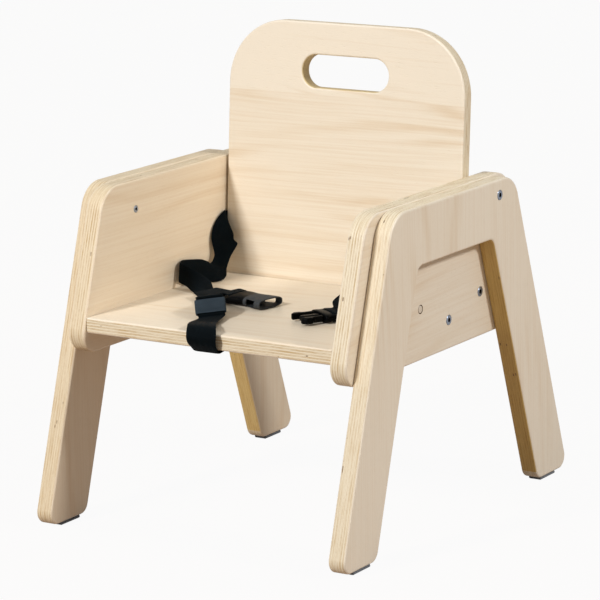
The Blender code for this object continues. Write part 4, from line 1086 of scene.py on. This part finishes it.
def screw_tree():
    """Geometry Nodes that put a countersunk socket screw on each point, its head along Outward."""
    s, take, result = start_group("Socket screws", (
        ("Points", "NodeSocketGeometry", None), ("Head Radius", NUMBER, 0.0048),
        ("Head Depth", NUMBER, 0.003), ("Socket Radius", NUMBER, 0.0024),
        ("Shank Length", NUMBER, 0.012), ("Sides", "NodeSocketInt", 36),
        ("Zinc", "NodeSocketMaterial", None), ("Shade", "NodeSocketMaterial", None)),
        (("Screws", "NodeSocketGeometry"),), "GeometryNodeTree")
    head, depth, long = take["Head Radius"], take["Head Depth"], take["Shank Length"]
    socket, sides = take["Socket Radius"], take["Sides"]
    rim = head * 0.92
    chamfer = head * 0.08
    shank = head * 0.66
    deep = depth * 0.75

    def joined(*parts):
        made = s.node("GeometryNodeJoinGeometry")
        for part in parts:
            s.feed(made.inputs[0], part)
        return made.outputs[0]

    def circle(radius, resolution):
        return s.wire("GeometryNodeCurvePrimitiveCircle",
                      {"Radius": radius, "Resolution": resolution})

    def raised(mesh, height):
        return s.wire("GeometryNodeTransform",
                      {"Geometry": mesh, "Translation": s.vector(0.0, 0.0, height)})

    def ring(low, high, tall, height):
        made = s.wire("GeometryNodeMeshCone", {
            "Vertices": sides, "Radius Top": high, "Radius Bottom": low, "Depth": tall},
            fill_type="NONE")
        return raised(made, height)

    def cylinder(corners, radius, tall):
        return s.node("GeometryNodeMeshCylinder", {
            "Vertices": corners, "Radius": radius, "Depth": tall}, fill_type="NGON").outputs

    def named(label, kind):
        return s.wire("GeometryNodeInputNamedAttribute", {"Name": label}, "Attribute",
                      data_type=kind)

    both = joined(circle(rim, sides), circle(socket, 6))
    top = raised(s.wire("GeometryNodeFillCurve", {"Curve": both}), chamfer)
    edge = ring(head, rim, chamfer, 0.0)
    cone = ring(shank, head, depth, depth * -1.0)
    stem = raised(cylinder(sides, shank, long)["Mesh"], long * -0.5 - depth)
    wall = cylinder(6, socket, deep)
    hollow = s.wire("GeometryNodeDeleteGeometry",
                    {"Geometry": wall["Mesh"], "Selection": wall["Top"]}, domain="FACE")
    hollow = raised(s.wire("GeometryNodeFlipFaces", {"Mesh": hollow}), deep * -0.5 + chamfer)
    hollow = s.wire("GeometryNodeStoreNamedAttribute",
                    {"Geometry": hollow, "Name": "socket", "Value": True},
                    data_type="BOOLEAN", domain="FACE")
    turn = s.wire("FunctionNodeAlignRotationToVector",
                  {"Vector": named("outward", "FLOAT_VECTOR")}, axis="Z")
    spread = s.wire("GeometryNodeInstanceOnPoints", {
        "Points": take["Points"], "Instance": joined(top, edge, cone, stem, hollow),
        "Rotation": turn, "Scale": named("share", "FLOAT")})
    real = s.wire("GeometryNodeRealizeInstances", {"Geometry": spread})
    plated = s.wire("GeometryNodeSetMaterial", {"Geometry": real, "Material": take["Zinc"]})
    # The socket's walls take the Shade material: painted shade inside the key socket
    done = s.wire("GeometryNodeSetMaterial", {
        "Geometry": plated, "Selection": named("socket", "BOOLEAN"), "Material": take["Shade"]})
    return s.give(result, done)


def grown(obj, tree, values):
    """Run a Geometry Nodes tree on obj and keep its result as a plain mesh."""
    modifier = obj.modifiers.new(tree.name, "NODES")
    modifier.node_group = tree
    for item in tree.interface.items_tree:
        if item.item_type == "SOCKET" and item.in_out == "INPUT" and item.name in values:
            modifier[item.identifier] = values[item.name]
    return settle(obj, weighted=False)


def point_cloud(name, places, attributes):
    """A mesh of loose points with vector or number attributes on them."""
    mesh = bpy.data.meshes.new(name)
    mesh.from_pydata(places, [], [])
    for label, kind, values in attributes:
        made = mesh.attributes.new(label, kind, "POINT")
        if kind == "FLOAT":
            made.data.foreach_set("value", values)
        else:
            made.data.foreach_set("vector", [part for value in values for part in value])
    return add_object(name, mesh)


class CHAIR_OT_screws(bpy.types.Operator):
    """Put the socket screws into their countersinks and plate the strap screws and washers"""

    bl_idname = "chair.screws"
    bl_label = "Screws"

    def execute(self, context):
        settings = context.scene.chair_fixings
        places = screw_places()
        obj = point_cloud("socket_screws", [spot for _kind, spot, _out, _size in places], (
            ("outward", "FLOAT_VECTOR", [tuple(out) for _kind, _spot, out, _size in places]),
            ("share", "FLOAT", [size for *_rest, size in places])))
        shade = worn("socket_shade", settings.dark, dark_share=0.4, roughness=0.6, grit=0.0003,
                     scuffs=0.1, relief=0.00003, steady={"Metallic": 0.4})
        grown(obj, screw_tree(), {
            "Head Radius": SCREW_HEAD[0], "Head Depth": SCREW_SLOPE_DEPTH,
            "Shank Length": SCREW_SHANK_LENGTH, "Socket Radius": settings.socket,
            "Sides": settings.sides, "Zinc": zinc(), "Shade": shade})
        kinds = ("frame_to_back", "panel_to_back", "front_seat", "rear_seat", "arm")
        nodes = [side + "_" + kind + "_screw" for side in ("left", "right") for kind in kinds]
        hand_over(obj, "chair", "zinc_screw", *nodes)
        for strap in ("left_hip_strap", "right_hip_strap", "crotch_strap"):
            for kind in ("_screw", "_washer"):
                paint_node(strap + kind, zinc())
        return {"FINISHED"}


def paint_node(name, material):
    """Give a CAD node a material by its object's own slots."""
    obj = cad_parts[name]
    if not obj.material_slots:
        obj.data.materials.append(material)
    for slot in obj.material_slots:
        slot.link = "OBJECT"
        slot.material = material


class CHAIR_OT_plugs(bpy.types.Operator):
    """Set the round wooden plugs into the outer faces of the panels"""

    bl_idname = "chair.plugs"
    bl_label = "Plugs"

    def execute(self, context):
        settings = context.scene.chair_fixings
        radius = PLUG_RADIUS - PLUG_EASE
        profile = ((0, PLUG_PROUD), (radius - PLUG_EASE, PLUG_PROUD), (radius, -PLUG_RIM_DROP),
                   (radius, -PLUG_DEPTH), (0, -PLUG_DEPTH))
        for label, side in (("left", -1), ("right", 1)):
            obj = turned(label + "_wood_plug", profile, plug_place(side))
            settle(obj)
            paint(obj, worn(label + "_plug_end_grain", settings.plug, dark_share=0.7,
                            roughness=0.5, grit=0.0005, scuffs=0.2, relief=0.00005))
            hand_over(obj, "chair", "wood_plug", label + "_panel_plug")
        return {"FINISHED"}


class CHAIR_OT_foot_pads(bpy.types.Operator):
    """Finish the soft pads under the four feet"""

    bl_idname = "chair.foot_pads"
    bl_label = "Foot pads"

    def execute(self, context):
        tone = context.scene.chair_fixings.pad
        felt = worn("pad_felt", tone, dark_share=0.5, roughness=0.8, grit=0.0007, scuffs=0.3,
                    relief=0.0001, steady={"Sheen Weight": 0.3})
        for side in ("left", "right"):
            for end in ("front", "rear"):
                paint_node(side + "_" + end + "_foot_pad", felt)
        return {"FINISHED"}


# ---------------------------------------------------------------- harness


def eased(stations, steps=4):
    """More stations between the given ones, on a Catmull-Rom curve."""
    result = []
    last = len(stations) - 1
    for index in range(last):
        quad = [stations[min(max(index + shift, 0), last)] for shift in (-1, 0, 1, 2)]
        for step in range(steps):
            t = step / steps
            result.append(tuple(
                0.5 * (2 * b + (c - a) * t + (2 * a - 5 * b + 4 * c - d) * t * t
                       + (3 * b - a - 3 * c + d) * t * t * t)
                for a, b, c, d in zip(*quad)))
    result.append(stations[-1])
    return result


def axis(place, index):
    return place.to_3x3().col[index].copy()


def edge_pair(centre, direction, width_share=1.0):
    half = Vector(direction).normalized() * (WEBBING_WIDTH * width_share / 2)
    return Vector(centre) + half, Vector(centre) - half


def webbing(name, rows):
    """A closed band through rows of edge pairs, with rolled edges and a UV map in metres."""
    shares = (-1, -0.97, -0.9, -0.75, -0.4, 0, 0.4, 0.75, 0.9, 0.97, 1)
    half = WEBBING_THICKNESS / 2
    top = [(share, half * (1 - abs(share) ** 9) ** 0.5) for share in shares]
    ring = top + [(share, -height) for share, height in reversed(top[1:-1])]
    centres = [(first + second) / 2 for first, second in rows]
    shell = bmesh.new()
    layer = shell.loops.layers.uv.new("band")
    along = 0.0
    rings, lengths = [], []
    for index, (first, second) in enumerate(rows):
        ahead = centres[min(index + 1, len(rows) - 1)]
        behind = centres[max(index - 1, 0)]
        if index:
            along += (centres[index] - centres[index - 1]).length
        reach = (first - second) / 2
        normal = (ahead - behind).cross(reach).normalized()
        rings.append([shell.verts.new(centres[index] + reach * share + normal * height)
                      for share, height in ring])
        lengths.append(along)
    count = len(ring)

    def add_face(corners):
        """A face from (row, column) corners, whose UV is its place on the flat band."""
        face = shell.faces.new([rings[row][column % count] for row, column in corners])
        for loop, (row, column) in zip(face.loops, corners):
            loop[layer].uv = (lengths[row], ring[column % count][0] * WEBBING_WIDTH / 2)

    for row in range(len(rows) - 1):
        for i in range(count):
            add_face(((row, i), (row, i + 1), (row + 1, i + 1), (row + 1, i)))
    for row in (0, -1):
        add_face([(row, i) for i in range(count)])
    return settle(solid(name, shell, Matrix.Identity(4)), BAND_SHARP_ANGLE, weighted=False)


def rear_rows(side):
    """A hip strap from its screw behind the back board, round the edge and through the gap."""
    rear = BACK_THICKNESS + WEBBING_OFF
    anchor = BACK_HALF_WIDTH - STRAP_ANCHOR_INSET
    bend_x = BACK_HALF_WIDTH - BACK_EDGE_ROUND
    bend_depth = BACK_THICKNESS - BACK_EDGE_ROUND
    reach = BACK_EDGE_ROUND + WEBBING_OFF
    places = [(anchor + off, rear) for off in (-STRAP_END_LENGTH, 0, STRAP_END_LENGTH)]
    for turn in range(90, -1, -10):
        angle = math.radians(turn)
        places.append((bend_x + reach * math.cos(angle), bend_depth + reach * math.sin(angle)))
    places += [(STRAP_PLANE, depth) for depth in (BACK_THICKNESS / 2, 0, -2 * WEBBING_THICKNESS)]
    return [edge_pair(back_point(side * x, STRAP_HEIGHT, depth), BACK_UP) for x, depth in places]


def seat_place(x_share, y_share, z_share):
    y = SEAT_FRONT + y_share * SEAT_DEPTH
    return Vector((x_share * HALF_CLEAR, y, SEAT_HEIGHT + z_share * ARM_RISE))


def buckle_place(x_share, y_share, turn_deg):
    """Buckle axes: +X out of the mouth or from the shoulder to the strap, Z 0 underneath."""
    point = seat_place(x_share, y_share, 0)
    point.z += FIT_GAP
    return Matrix.Translation(point) @ Matrix.Rotation(math.radians(turn_deg), 4, "Z")


def bar_rows(place, bar_x, thickness, strapward):
    """Webbing round a buckle's bar, from over the bar down the slot and back below it."""
    off = WEBBING_OFF
    half_bar = BUCKLE_BAR / 2
    half_high = thickness / 2 - STRAP_GAP
    top = half_high + off
    side = half_bar + off
    path = (
        (half_bar + BUCKLE_TAIL, top), (0, top), (-half_bar + off / 2, top),
        (-side + off / 2, top - off / 3), (-side, half_high / 2), (-side, -half_high / 2),
        (-side + off / 2, -top + off / 3), (-half_bar + off / 2, -top), (0, -top),
        (half_bar + BUCKLE_TAIL, -top),
    )
    return [edge_pair(place @ Vector((bar_x + strapward * along, 0, thickness / 2 + high)),
                      axis(place, 1)) for along, high in path]


def crossing_point(female_place):
    return female_place @ Vector((FEMALE_BAR_X - CROTCH_CROSSING, 0, 0))


def left_strap_rows(female_place):
    behind = rear_rows(-1)
    rows = behind[-1:]
    rows += [edge_pair(seat_place(*row[:3]), row[3:6], row[6]) for row in LEFT_STRAP_SHARES]
    for share, level in HIP_CROSSING_SHARES:
        centre = crossing_point(female_place) + axis(female_place, 0) * (share * WEBBING_WIDTH)
        centre.z = SEAT_LAYER + level * LAYER_STEP
        rows.append(edge_pair(centre, axis(female_place, 1)))
    rows += bar_rows(female_place, FEMALE_BAR_X, FEMALE_THICKNESS, -1)
    return behind[:-1] + eased(rows, ROW_STEPS)


def right_strap_rows(male_place):
    behind = rear_rows(1)
    rows = behind[-1:]
    bar = male_place @ Vector((MALE_BAR_X, 0, MALE_THICKNESS))
    corner = back_point(STRAP_PLANE, STRAP_HEIGHT, -WEBBING_WIDTH / 3)
    for along, rise, tilt in reversed(RIGHT_STRAP_SHARES):
        centre = bar.lerp(corner, along)
        centre.z = bar.z + (corner.z - bar.z) * rise
        rows.append(edge_pair(centre, axis(male_place, 1) + Vector((0, 0, tilt))))
    rows += bar_rows(male_place, MALE_BAR_X, MALE_THICKNESS, 1)
    return behind[:-1] + eased(rows, ROW_STEPS)


def crotch_strap_rows(female_place):
    """From the screw under the seat, round the front edge and back over the seat."""
    under = SEAT_HEIGHT - SEAT_THICKNESS - FIT_GAP - WEBBING_THICKNESS / 2
    screw = seat_place(*CROTCH_ANCHOR, 0)
    screw.z = under
    front = Vector((CROTCH_FRONT_SHARE * HALF_CLEAR, SEAT_FRONT, under))
    heading = (screw - front).normalized()
    sideways = Vector((-heading.y, heading.x, 0))
    if sideways.x < 0:
        sideways.negate()
    rows = [edge_pair(screw + heading * along, sideways)
            for along in (STRAP_END_LENGTH, 0, -STRAP_END_LENGTH)]
    rows.append(edge_pair(front + heading * WEBBING_WIDTH / 2, sideways))
    for out, up, skew, width in CROTCH_EDGE_SHARES:
        centre = Vector((front.x, SEAT_FRONT - out * CROTCH_BULGE - FIT_GAP,
                         under + up * SEAT_THICKNESS))
        rows.append(edge_pair(centre, (1, skew, 0), width))
    over_seat = [edge_pair(seat_place(*row[:3]), row[3:6], row[6])
                 for row in CROTCH_STRAP_SHARES]
    keeper = keeper_place()
    straight = [edge_pair(keeper @ Vector((share * KEEPER_LENGTH, 0, 0)), -axis(keeper, 1))
                for share in KEEPER_STRAIGHT_SHARES]
    rows += over_seat[:KEEPER_ROW] + straight + over_seat[KEEPER_ROW:]
    half = WEBBING_WIDTH / 2
    middle = (LOOP_TOP_SHARE + LOOP_BASE_SHARE) / 2
    radius_share = (LOOP_TOP_SHARE - LOOP_BASE_SHARE) / 2
    path = [(-half - CROTCH_OVERLAP, LOOP_TOP_SHARE), (-half, LOOP_TOP_SHARE)]
    for step in range(LOOP_TURNS + 1):
        angle = math.pi / 2 - math.pi * step / LOOP_TURNS
        path.append((half + radius_share * LAYER_STEP * math.cos(angle),
                     middle + radius_share * math.sin(angle)))
    path.append((-half, LOOP_BASE_SHARE))
    loop = []
    for offset, level in path:
        centre = crossing_point(female_place) + axis(female_place, 1) * offset
        centre.z = SEAT_LAYER + level * LAYER_STEP
        loop.append(edge_pair(centre, axis(female_place, 0)))
    return eased(rows + loop[:2], ROW_STEPS) + loop[2:]


def keeper_place():
    """Keeper axes: +X up along the crotch strap, Y across it, Z 0 in the middle of the webbing."""
    turn = Matrix.Rotation(math.radians(KEEPER_TURN_DEG), 4, "Z")
    tilt = Matrix.Rotation(math.radians(-KEEPER_TILT_DEG), 4, "Y")
    roll = Matrix.Rotation(math.radians(-KEEPER_ROLL_DEG), 4, "X")
    return Matrix.Translation(seat_place(*KEEPER_PLACE)) @ turn @ tilt @ roll


def keeper_rows():
    """A loop of webbing round the crotch strap, its ends sewn underneath."""
    place = keeper_place()
    u = WEBBING_WIDTH / 2 + KEEPER_SIDE_GAP + WEBBING_THICKNESS / 2
    v = WEBBING_THICKNESS + WEBBING_CLEARANCE
    radius = KEEPER_RADIUS - WEBBING_THICKNESS / 2
    outline = rounded(((-u, -v, radius), (u, -v, radius), (u, v, radius), (-u, v, radius)))
    first = len(outline) // 4
    outline = ([Vector((0, -v))] + outline[first:] + outline[:first]
               + [Vector((-WEBBING_CLEARANCE, -v))])
    return [edge_pair(place @ Vector((0, spot.x, spot.y)), axis(place, 0),
                      KEEPER_LENGTH / WEBBING_WIDTH) for spot in outline]


class CHAIR_OT_webbing(bpy.types.Operator):
    """Lay the two hip straps, the crotch strap and its keeper as webbing bands"""

    bl_idname = "chair.webbing"
    bl_label = "Webbing"

    def execute(self, context):
        female_place = buckle_place(*FEMALE_MOUTH)
        male_place = buckle_place(*MALE_SHOULDER)
        settings = context.scene.chair_harness
        cloth = webbing_cloth("webbing_cloth", settings.webbing, settings.webbing_light)
        pale_cloth = webbing_cloth("keeper_cloth", settings.keeper, settings.keeper_light)
        female_bar = female_place @ Vector((FEMALE_BAR_X, 0, 0))
        male_bar = male_place @ Vector((MALE_BAR_X, 0, 0))
        crotch = crotch_strap_rows(female_place)
        fold = (crotch[FOLD_ROW][0] + crotch[FOLD_ROW][1]) / 2
        rest = (
            ("left_hip_strap", left_strap_rows(female_place), "female_side",
             back_point(-STRAP_PLANE, STRAP_HEIGHT, 0), female_bar),
            ("right_hip_strap", right_strap_rows(male_place), "male_side",
             back_point(STRAP_PLANE, STRAP_HEIGHT, 0), male_bar),
            ("crotch_strap", crotch[FOLD_ROW:], "female_side", fold, female_bar),
            ("crotch_strap_keeper", keeper_rows(), "female_side", fold, female_bar),
        )
        for node, rows, body, start, end in rest:
            obj = webbing(node + "_webbing", rows)
            paint(obj, pale_cloth if node == "crotch_strap_keeper" else cloth)
            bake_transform(obj)
            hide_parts(node)
        tail = webbing("crotch_strap_tail_webbing", crotch[:FOLD_ROW + 1])
        paint(tail, cloth)
        hand_over(tail, "chair", "webbing", "crotch_strap")
        return {"FINISHED"}


def loft(name, stations, middle, place, sides=48, power=3.0):
    """A closed body along X from (x, half width, half height) stations about the middle height.

    Its sections are superellipses.
    """
    shell = bmesh.new()
    rings = []
    for x, wide, high in stations:
        ring = []
        for i in range(sides):
            angle = math.tau * i / sides
            y, z = (math.copysign(abs(way) ** (2 / power), way)
                    for way in (math.cos(angle), math.sin(angle)))
            ring.append(shell.verts.new((x, y * wide, middle + z * high)))
        rings.append(ring)
    for first, second in zip(rings, rings[1:]):
        for i in range(sides):
            after = (i + 1) % sides
            shell.faces.new((first[i], first[after], second[after], second[i]))
    shell.faces.new(rings[0])
    shell.faces.new(rings[-1])
    return solid(name, shell, place)


def block(name, size, centre, place, edge=0.0005):
    """A cutter or bar with eased edges, in the axes of place."""
    x, y, _z = Vector(size) / 2
    outline = rounded(((-x, -y, edge), (x, -y, edge), (x, y, edge), (-x, y, edge)))
    return flat_board(name, (outline,), size[2], place @ Matrix.Translation(centre))


def bar_cutters(place, bar_x, thickness, inward):
    """Cutters that leave a bar for the webbing at the end of a buckle half."""
    width = WEBBING_WIDTH + BAR_SIDE_ROOM
    half_bar = BUCKLE_BAR / 2
    over = BAR_CUT_REACH
    cutters = [block("slot", (BUCKLE_SLOT, width, thickness + 2 * over),
                     (bar_x + inward * (half_bar + BUCKLE_SLOT / 2), 0, thickness / 2), place)]
    size = BUCKLE_BAR + BUCKLE_SLOT / 2 + over
    middle = bar_x + inward * (half_bar + BUCKLE_SLOT / 2 - size / 2)
    for edge, way in ((thickness, 1), (0, -1)):
        centre = (middle, 0, edge + way * (over - STRAP_GAP) / 2)
        cutters.append(block("recess", (size, width, STRAP_GAP + over), centre, place))
    return cutters


class CHAIR_OT_female_buckle(bpy.types.Operator):
    """Mould the hollow half of the side-release buckle"""

    bl_idname = "chair.female_buckle"
    bl_label = "Female buckle"

    def execute(self, context):
        place = buckle_place(*FEMALE_MOUTH)
        mid = FEMALE_THICKNESS / 2
        obj = loft("female_buckle_shell", eased(FEMALE_SHELL), mid, place)
        cutters = [loft("female_hollow", eased(FEMALE_HOLLOW), mid, place),
                   block("female_windows", WINDOW_SIZE, (WINDOW_X, 0, mid), place, WINDOW_ROUND),
                   *bar_cutters(place, FEMALE_BAR_X, FEMALE_THICKNESS, 1)]
        for cutter in cutters:
            cut(obj, cutter)
        settle(obj, weighted=False)
        clear_away(cutters)
        paint(obj, buckle_plastic(), matte_and_shade_plastic())
        hand_over(obj, "female_side", "buckle_plastic", "female_buckle")
        # The female half's rear takes the matte copy, darker by its weaker reflection: painted
        # shade
        back = place.inverted()
        for face in obj.data.polygons:
            face.material_index = int((back @ face.center).x < SHADE_BEHIND)
        return {"FINISHED"}


class CHAIR_OT_male_buckle(bpy.types.Operator):
    """Mould the tongued half of the buckle and its two latch arms"""

    bl_idname = "chair.male_buckle"
    bl_label = "Male buckle"

    def execute(self, context):
        place = buckle_place(*MALE_SHOULDER)
        mid = MALE_THICKNESS / 2
        obj = loft("male_buckle_plate", eased(MALE_SHELL), mid, place)
        cutters = bar_cutters(place, MALE_BAR_X, MALE_THICKNESS, -1)
        for cutter in cutters:
            cut(obj, cutter)
        half = TONGUE_WIDTH / 2
        outline = rounded(((BUCKLE_SLOT, -half, 0), (BUCKLE_SLOT, half, 0),
                           (-TONGUE_LENGTH, half, half), (-TONGUE_LENGTH, -half, half)))
        tongue = flat_board("tongue", (outline,), TONGUE_THICKNESS,
                            place @ Matrix.Translation((0, 0, mid)))
        round_edges(tongue, TONGUE_ROUND)
        cutters.append(cut(obj, tongue, "UNION"))
        settle(obj, weighted=False)
        clear_away(cutters)
        paint(obj, matte_and_shade_plastic())
        hand_over(obj, "male_side", "buckle_plastic", "male_buckle")
        self.latch_arm(place, "male_front_prong", "front_prong", -1)
        self.latch_arm(place, "male_rear_prong", "rear_prong", 1)
        return {"FINISHED"}

    def latch_arm(self, place, node, body, sign):
        half = PRONG_WIDTH / 2
        tip = -PRONG_LENGTH + half
        barb = half + PRONG_BARB
        rise, crest, fall = PRONG_BARB_SHARES
        outline = rounded((
            (half, -sign * half, half), (half, sign * half, half), (tip * rise, sign * half, half),
            (tip * crest, sign * barb, half / 2), (tip * fall, sign * barb, half),
            (tip, sign * half / 2, half / 2), (tip, -sign * half, half / 2)))
        pivot = place @ Vector((-half - FIT_GAP, sign * (BUCKLE_WIDTH / 2 - PRONG_INSET),
                                MALE_THICKNESS / 2))
        at_pivot = Matrix.Translation(pivot) @ place.to_3x3().to_4x4()
        obj = flat_board(node + "_arm", (outline,), PRONG_THICKNESS, at_pivot)
        round_edges(obj, PRONG_ROUND, segments=5, angle=40)
        settle(obj)
        paint(obj, matte_and_shade_plastic())
        hand_over(obj, body, "buckle_plastic", node)


# ---------------------------------------------------------------- stage


def way_to(azimuth, elevation):
    """The direction at these angles round the chair, from its front, and above the floor."""
    level = math.cos(elevation)
    return Vector((math.sin(azimuth) * level, -math.cos(azimuth) * level, math.sin(elevation)))


def white_seen(s, settings):
    """How far a ray sees plain white: in full from the camera, by a share in a reflection."""
    path = s.node("ShaderNodeLightPath").outputs
    mirrored = s.math("MULTIPLY", path["Is Glossy Ray"], settings.mirrored)
    return s.math("MAXIMUM", path["Is Camera Ray"],
                  s.math("MAXIMUM", mirrored, path["Is Transmission Ray"]))


class CHAIR_OT_stage(bpy.types.Operator):
    """Lay the floor, light it softly and set the camera at the photograph's angle"""

    bl_idname = "chair.stage"
    bl_label = "Stage"

    def execute(self, context):
        settings = context.scene.chair_stage
        half = FLOOR_SIZE / 2
        outline = rounded(((-half, -half, 0), (half, -half, 0), (half, half, 0), (-half, half, 0)))
        floor = flat_board("floor", (outline,), FLOOR_THICKNESS,
                           Matrix.Translation((0, 0, -FLOOR_THICKNESS / 2)))
        settle(floor, weighted=False)
        paint(floor, self.pale("floor_paper", settings))
        self.sky(context, settings)
        self.lamp(context, "key_lamp", settings.key, settings.lamp_size, *KEY_LAMP)
        self.lamp(context, "side_lamp", settings.side, settings.lamp_size, *SIDE_LAMP)
        self.camera(context)
        context.scene.view_settings.view_transform = "Standard"
        return {"FINISHED"}

    def lamp(self, context, name, power, size, azimuth, elevation):
        """A square lamp aimed at the chair, its direction in degrees round it and above it."""
        lamp = bpy.data.lights.new(name, "AREA")
        lamp.shape = "SQUARE"
        lamp.size = size
        lamp.energy = power
        obj = bpy.data.objects.new(name, lamp)
        context.scene.collection.objects.link(obj)
        way = way_to(math.radians(azimuth), math.radians(elevation))
        obj.matrix_world = aimed(Vector((0, 0, LAMP_AIM)) + way * LAMP_DISTANCE, way)

    def pale(self, name, settings):
        """A floor that the camera sees close to white, which keeps the shadow."""
        made = bpy.data.materials.new(name)
        made.use_nodes = True
        s = Sketch(made.node_tree)
        shader = s.tree.nodes["Principled BSDF"]
        shader.inputs["Base Color"].default_value = full(settings.floor)
        shader.inputs["Roughness"].default_value = 0.9
        glow = s.wire("ShaderNodeEmission", {"Color": WHITE, "Strength": 1.0})
        mix = s.wire("ShaderNodeMixShader", {
            0: white_seen(s, settings) * settings.floor_white, 1: shader.outputs[0], 2: glow})
        s.feed(s.tree.nodes["Material Output"].inputs["Surface"], mix)
        return made

    def sky(self, context, settings):
        world = bpy.data.worlds.new("studio")
        context.scene.world = world
        world.use_nodes = True
        s = Sketch(world.node_tree)
        strength = white_seen(s, settings) * (settings.backdrop - settings.sky) + settings.sky
        inputs = s.tree.nodes["Background"].inputs
        inputs["Color"].default_value = WHITE
        s.feed(inputs["Strength"], strength)

    def camera(self, context):
        azimuth, elevation, roll = (math.radians(value) for value in CAMERA_TURNS)
        made = bpy.data.cameras.new("camera")
        made.lens = CAMERA_LENS
        made.sensor_width = CAMERA_SENSOR
        made.clip_start = 0.1
        made.clip_end = 60
        camera = bpy.data.objects.new("camera", made)
        context.scene.collection.objects.link(camera)
        turn = (-way_to(azimuth, elevation)).to_track_quat("-Z", "Y").to_matrix().to_4x4()
        roll = Matrix.Rotation(roll, 4, "Z")
        camera.matrix_world = Matrix.Translation(CAMERA_PLACE) @ turn @ roll
        context.scene.camera = camera


class CHAIR_PT_sidebar(bpy.types.Panel):
    """Sizes, colours and pieces of the toddler chair"""

    bl_label = "Toddler Chair"
    bl_idname = "CHAIR_PT_sidebar"
    bl_space_type = "VIEW_3D"
    bl_region_type = "UI"
    bl_category = "Toddler Chair"

    def draw(self, context):
        layout = self.layout
        for label, group, operators in PANEL_ROWS:
            box = layout.box()
            box.label(text=label)
            settings = getattr(context.scene, group)
            for name in settings.bl_rna.properties.keys():
                if name not in ("rna_type", "name"):
                    box.prop(settings, name)
            for operator in operators:
                box.operator(operator)


PANEL_ROWS = (
    ("Plywood", "chair_plywood", ("chair.boards",)),
    ("Fixings", "chair_fixings", ("chair.screws", "chair.plugs", "chair.foot_pads")),
    ("Harness", "chair_harness", ("chair.webbing", "chair.female_buckle", "chair.male_buckle")),
    ("Stage", "chair_stage", ("chair.stage",)),
)
SETTINGS = {"chair_plywood": PlywoodSettings, "chair_fixings": FixingSettings,
            "chair_harness": HarnessSettings, "chair_stage": StageSettings}
CLASSES = (
    PlywoodSettings, FixingSettings, HarnessSettings, StageSettings,
    CHAIR_OT_boards, CHAIR_OT_screws, CHAIR_OT_plugs, CHAIR_OT_foot_pads, CHAIR_OT_webbing,
    CHAIR_OT_female_buckle, CHAIR_OT_male_buckle, CHAIR_OT_stage, CHAIR_PT_sidebar,
)


def register():
    for made in CLASSES:
        bpy.utils.register_class(made)
    for name, group in SETTINGS.items():
        setattr(bpy.types.Scene, name, PointerProperty(type=group))


def unregister():
    for name in SETTINGS:
        delattr(bpy.types.Scene, name)
    for made in reversed(CLASSES):
        bpy.utils.unregister_class(made)


def main():
    register()
    bpy.ops.chair.stage()
    bpy.ops.chair.boards()
    bpy.ops.chair.screws()
    bpy.ops.chair.plugs()
    bpy.ops.chair.foot_pads()
    bpy.ops.chair.webbing()
    bpy.ops.chair.female_buckle()
    bpy.ops.chair.male_buckle()


if __name__ == "__main__":
    main()
